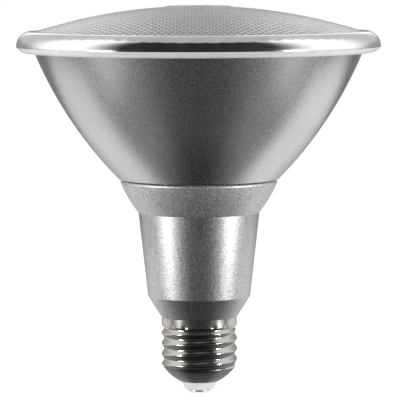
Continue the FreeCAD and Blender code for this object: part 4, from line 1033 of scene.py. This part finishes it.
def lens_mesh():
    """Closed glass body: fine grid inside, rim, and turned rings outside."""
    shape = bmesh.new()
    inside = shape.verts.layers.float.new("inside")
    grid = []
    for row in range(GRID + 1):
        line = []
        for column in range(GRID + 1):
            x, y = disc_point(2 * column / GRID - 1, 2 * row / GRID - 1)
            x, y = x * rim_bore, y * rim_bore
            radius = math.hypot(x, y)
            point = shape.verts.new((x, y, dome_level(radius, inner_sphere)))
            point[inside] = 1.0
            line.append(point)
        grid.append(line)
    for row in range(GRID):
        for column in range(GRID):
            shape.faces.new((grid[row][column], grid[row][column + 1],
                             grid[row + 1][column + 1], grid[row + 1][column]))
    edge = grid[0][:-1] + [line[-1] for line in grid[:-1]]
    edge += grid[-1][:0:-1] + [line[0] for line in grid[:0:-1]]
    angles = [math.atan2(point.co.y, point.co.x) for point in edge]
    steps = [(lens_radius, lens_low), (lens_radius, rim_top), (lens_edge, rim_top)]
    steps += [(lens_edge, dome_level(lens_edge, LENS_CURVE))]
    for step in range(1, DOME_ROWS + 1):
        radius = lens_edge + (PAD_RADIUS - lens_edge) * step / DOME_ROWS
        steps.append((radius, dome_level(radius, LENS_CURVE)))
    steps += [(PAD_RADIUS - PAD_SLOPE, lens_high)]
    last = edge
    for radius, height in steps:
        row = [shape.verts.new((radius * math.cos(angle), radius * math.sin(angle), height))
               for angle in angles]
        for index in range(len(row)):
            after = (index + 1) % len(row)
            shape.faces.new((last[index], last[after], row[after], row[index]))
        last = row
    middle = shape.verts.new((0, 0, lens_high))
    for index in range(len(last)):
        shape.faces.new((last[index], last[(index + 1) % len(last)], middle))
    bmesh.ops.recalc_face_normals(shape, faces=shape.faces)
    mesh = bpy.data.meshes.new("patterned_lens")
    shape.to_mesh(mesh)
    shape.free()
    mesh.shade_smooth()
    return mesh


lens = add_object("patterned_lens", lens_mesh())
print("lens body has", len(lens.data.polygons), "faces")

# %% [markdown]
# The lenslets' centres form a close hexagonal lattice. It could be stored as a list of points;
# here it is two rectangular lattices, the second shifted by half a cell, so that rounding finds
# the nearest centre anywhere. The distance to it gives the depth at each point.

# %% Lenslets
LENSLET_PITCH = 2.3 * MM
LENSLET_DEPTH = 0.46 * MM
LENSLET_REACH = 53.0 * MM
LENSLET_FADE = 0.6 * MM


def nearest_centre(graph, parts, pitch):
    """Squared distance to the nearest centre of a close hexagonal lattice."""
    row_pitch = graph.math("MULTIPLY", pitch, math.sqrt(3))

    def cell(shift):
        """The same for one of the two rectangular lattices it is made of."""
        across = graph.math("DIVIDE", parts[0], pitch)
        up = graph.math("DIVIDE", parts[1], row_pitch)
        across = graph.math("SUBTRACT", across, shift)
        up = graph.math("SUBTRACT", up, shift)
        dx = graph.math("SUBTRACT", across, graph.math("ROUND", across))
        dy = graph.math("SUBTRACT", up, graph.math("ROUND", up))
        dx = graph.math("MULTIPLY", dx, pitch)
        dy = graph.math("MULTIPLY", dy, row_pitch)
        return graph.math("ADD", graph.math("MULTIPLY", dx, dx), graph.math("MULTIPLY", dy, dy))

    return graph.math("MINIMUM", cell(0.0), cell(0.5))


def lenslet_tree():
    """Geometry nodes that sink a small dome into each hexagonal cell."""
    graph, given = new_tree("Lenslets", ("Pitch", "Depth", "Reach"))
    place = graph.add("GeometryNodeInputPosition")
    parts = graph.add("ShaderNodeSeparateXYZ", {0: place}).outputs
    nearest = nearest_centre(graph, parts, given["Pitch"])
    widest = graph.math("MULTIPLY", given["Pitch"], given["Pitch"])
    widest = graph.math("DIVIDE", widest, 3.0)
    fall = graph.math("DIVIDE", nearest, widest)
    dome = graph.math("SUBTRACT", 1.0, fall, clamp=True)
    out = graph.math("ADD", graph.math("MULTIPLY", parts[0], parts[0]),
                     graph.math("MULTIPLY", parts[1], parts[1]))
    radius = graph.math("SQRT", out)
    fade_from = graph.math("SUBTRACT", given["Reach"], LENSLET_FADE)
    fade = graph.smooth(radius, 1.0, 0.0, fade_from, given["Reach"])
    depth = graph.math("MULTIPLY", graph.math("MULTIPLY", dome, fade), given["Depth"])
    mark = graph.add("GeometryNodeInputNamedAttribute", {"Name": "inside"}, data_type="FLOAT")
    depth = graph.math("MULTIPLY", depth, mark.outputs[0])
    down = graph.math("MULTIPLY", depth, -1.0)
    return end_tree(graph, given, graph.add("ShaderNodeCombineXYZ", {2: down}))


# %% [markdown]
# The real glass is clear, and its pattern shows on the outside as a close net. Bare glass would
# lose that net against the bright bowl within. So the glass takes the same distance as the
# lenslets: along their borders it is duller and carries painted shade, a darker tone where the
# real glass stays clear, and it swells a little over each lenslet; and only a share of it is
# clear, as real lenslets scatter light.

# %% Glass
GLASS_COLOUR = (0.95, 0.96, 0.965)
GLASS_CLEAR = 0.76
GLASS_BENDING = 1.5
GLASS_ROUGH = (0.03, 0.08)
GLASS_CLOUD = 260.0
BORDER_SHADE = 0.28
CENTRE_GLOSS = 0.7
BORDER_GLOSS = 0.05
CENTRE_SHARE = 0.16
BORDER_SHARE = 0.52
SWELL = 0.08 * MM
SHARP_EDGE = 50


def lens_glass():
    """Clear glass with painted shade along the lenslets' borders, so that they show on the
    outside.
    """
    material, graph, shader = new_material("lens_glass")
    point = object_point(graph)
    cloud = noise(graph, point, GLASS_CLOUD, 2.0)
    graph.feed(shader.inputs["Roughness"], graph.smooth(cloud, *GLASS_ROUGH, *NOISE_RANGE))
    parts = graph.add("ShaderNodeSeparateXYZ", {0: point}).outputs
    nearest = nearest_centre(graph, parts, LENSLET_PITCH)
    inner = (CENTRE_SHARE * LENSLET_PITCH) ** 2
    outer = (BORDER_SHARE * LENSLET_PITCH) ** 2
    # Painted shade: the base colour darkens along the lenslets' borders, where the real glass is
    # clear.
    tint(graph, shader, GLASS_COLOUR, graph.smooth(nearest, 1.0, BORDER_SHADE, inner, outer))
    gloss = graph.smooth(nearest, CENTRE_GLOSS, BORDER_GLOSS, inner, outer)
    graph.feed(shader.inputs["Specular IOR Level"], gloss)
    bump(graph, shader, graph.smooth(nearest, SWELL, 0.0, 0.0, outer), 1.0, 1.0)
    shader.inputs["Transmission Weight"].default_value = GLASS_CLEAR
    shader.inputs["IOR"].default_value = GLASS_BENDING
    return material


grown(lens, lenslet_tree(), {"Pitch": LENSLET_PITCH, "Depth": LENSLET_DEPTH,
                             "Reach": LENSLET_REACH, "Finish": lens_glass()})
lens.data.set_sharp_from_angle(angle=math.radians(SHARP_EDGE))
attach(lens, "root")
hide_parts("lens")

# %% [markdown]
# ## Inside
# Behind the glass and in the neck sit the light source, its supply and the wires. They could
# be drawn again like the outer pieces, but little of them is ever seen. So each keeps the
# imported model's solid and only gets a finish in its usual colour.

# %% Inside finishes
INSIDE = {
    "lens_gasket": ("silicone", (0.70, 0.70, 0.69), 0.55, 0.0),
    "thermal_pad": ("thermal_grey", (0.42, 0.45, 0.48), 0.70, 0.0),
    "led_board": ("white_mask", (0.84, 0.84, 0.82), 0.35, 0.0),
    "led_packages": ("phosphor", (0.86, 0.70, 0.20), 0.45, 0.0),
    "board_connector": ("white_nylon", (0.82, 0.82, 0.79), 0.40, 0.0),
    "board_screws": ("zinc_screws", (0.70, 0.70, 0.71), 0.28, 1.0),
    "housing_screws": ("zinc_tapping", (0.70, 0.70, 0.71), 0.30, 1.0),
    "driver_board": ("green_mask", (0.03, 0.20, 0.08), 0.30, 0.0),
    "transformer_core": ("ferrite", (0.06, 0.06, 0.065), 0.60, 0.0),
    "transformer_bobbin": ("black_moulding", (0.02, 0.02, 0.022), 0.45, 0.0),
    "transformer_winding": ("amber_tape", (0.72, 0.50, 0.08), 0.25, 0.0),
    "input_capacitor": ("can_sleeve_a", (0.03, 0.04, 0.07), 0.25, 0.0),
    "output_capacitor": ("can_sleeve_b", (0.03, 0.04, 0.07), 0.25, 0.0),
    "film_capacitor": ("film_box", (0.55, 0.42, 0.08), 0.28, 0.0),
    "fuse_resistor": ("resistor_coat", (0.14, 0.28, 0.22), 0.40, 0.0),
    "filter_choke": ("choke_sleeve", (0.04, 0.04, 0.04), 0.35, 0.0),
    "driver_chip": ("chip_mould", (0.02, 0.02, 0.02), 0.50, 0.0),
    "bridge_rectifier": ("bridge_mould", (0.02, 0.02, 0.02), 0.50, 0.0),
    "surge_varistor": ("varistor_coat", (0.04, 0.14, 0.42), 0.35, 0.0),
    "output_leads": ("lead_red", (0.62, 0.04, 0.03), 0.38, 0.0),
    "live_lead": ("lead_brown", (0.20, 0.08, 0.03), 0.38, 0.0),
    "neutral_lead": ("lead_blue", (0.05, 0.16, 0.45), 0.38, 0.0),
}
for node, (name, colour, roughness, metallic) in INSIDE.items():
    finish = moulded(name, colour, roughness, metallic=metallic)
    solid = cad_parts[node]
    solid.data.materials.clear()
    solid.data.materials.append(finish)
print("finished inside pieces:", len(INSIDE))
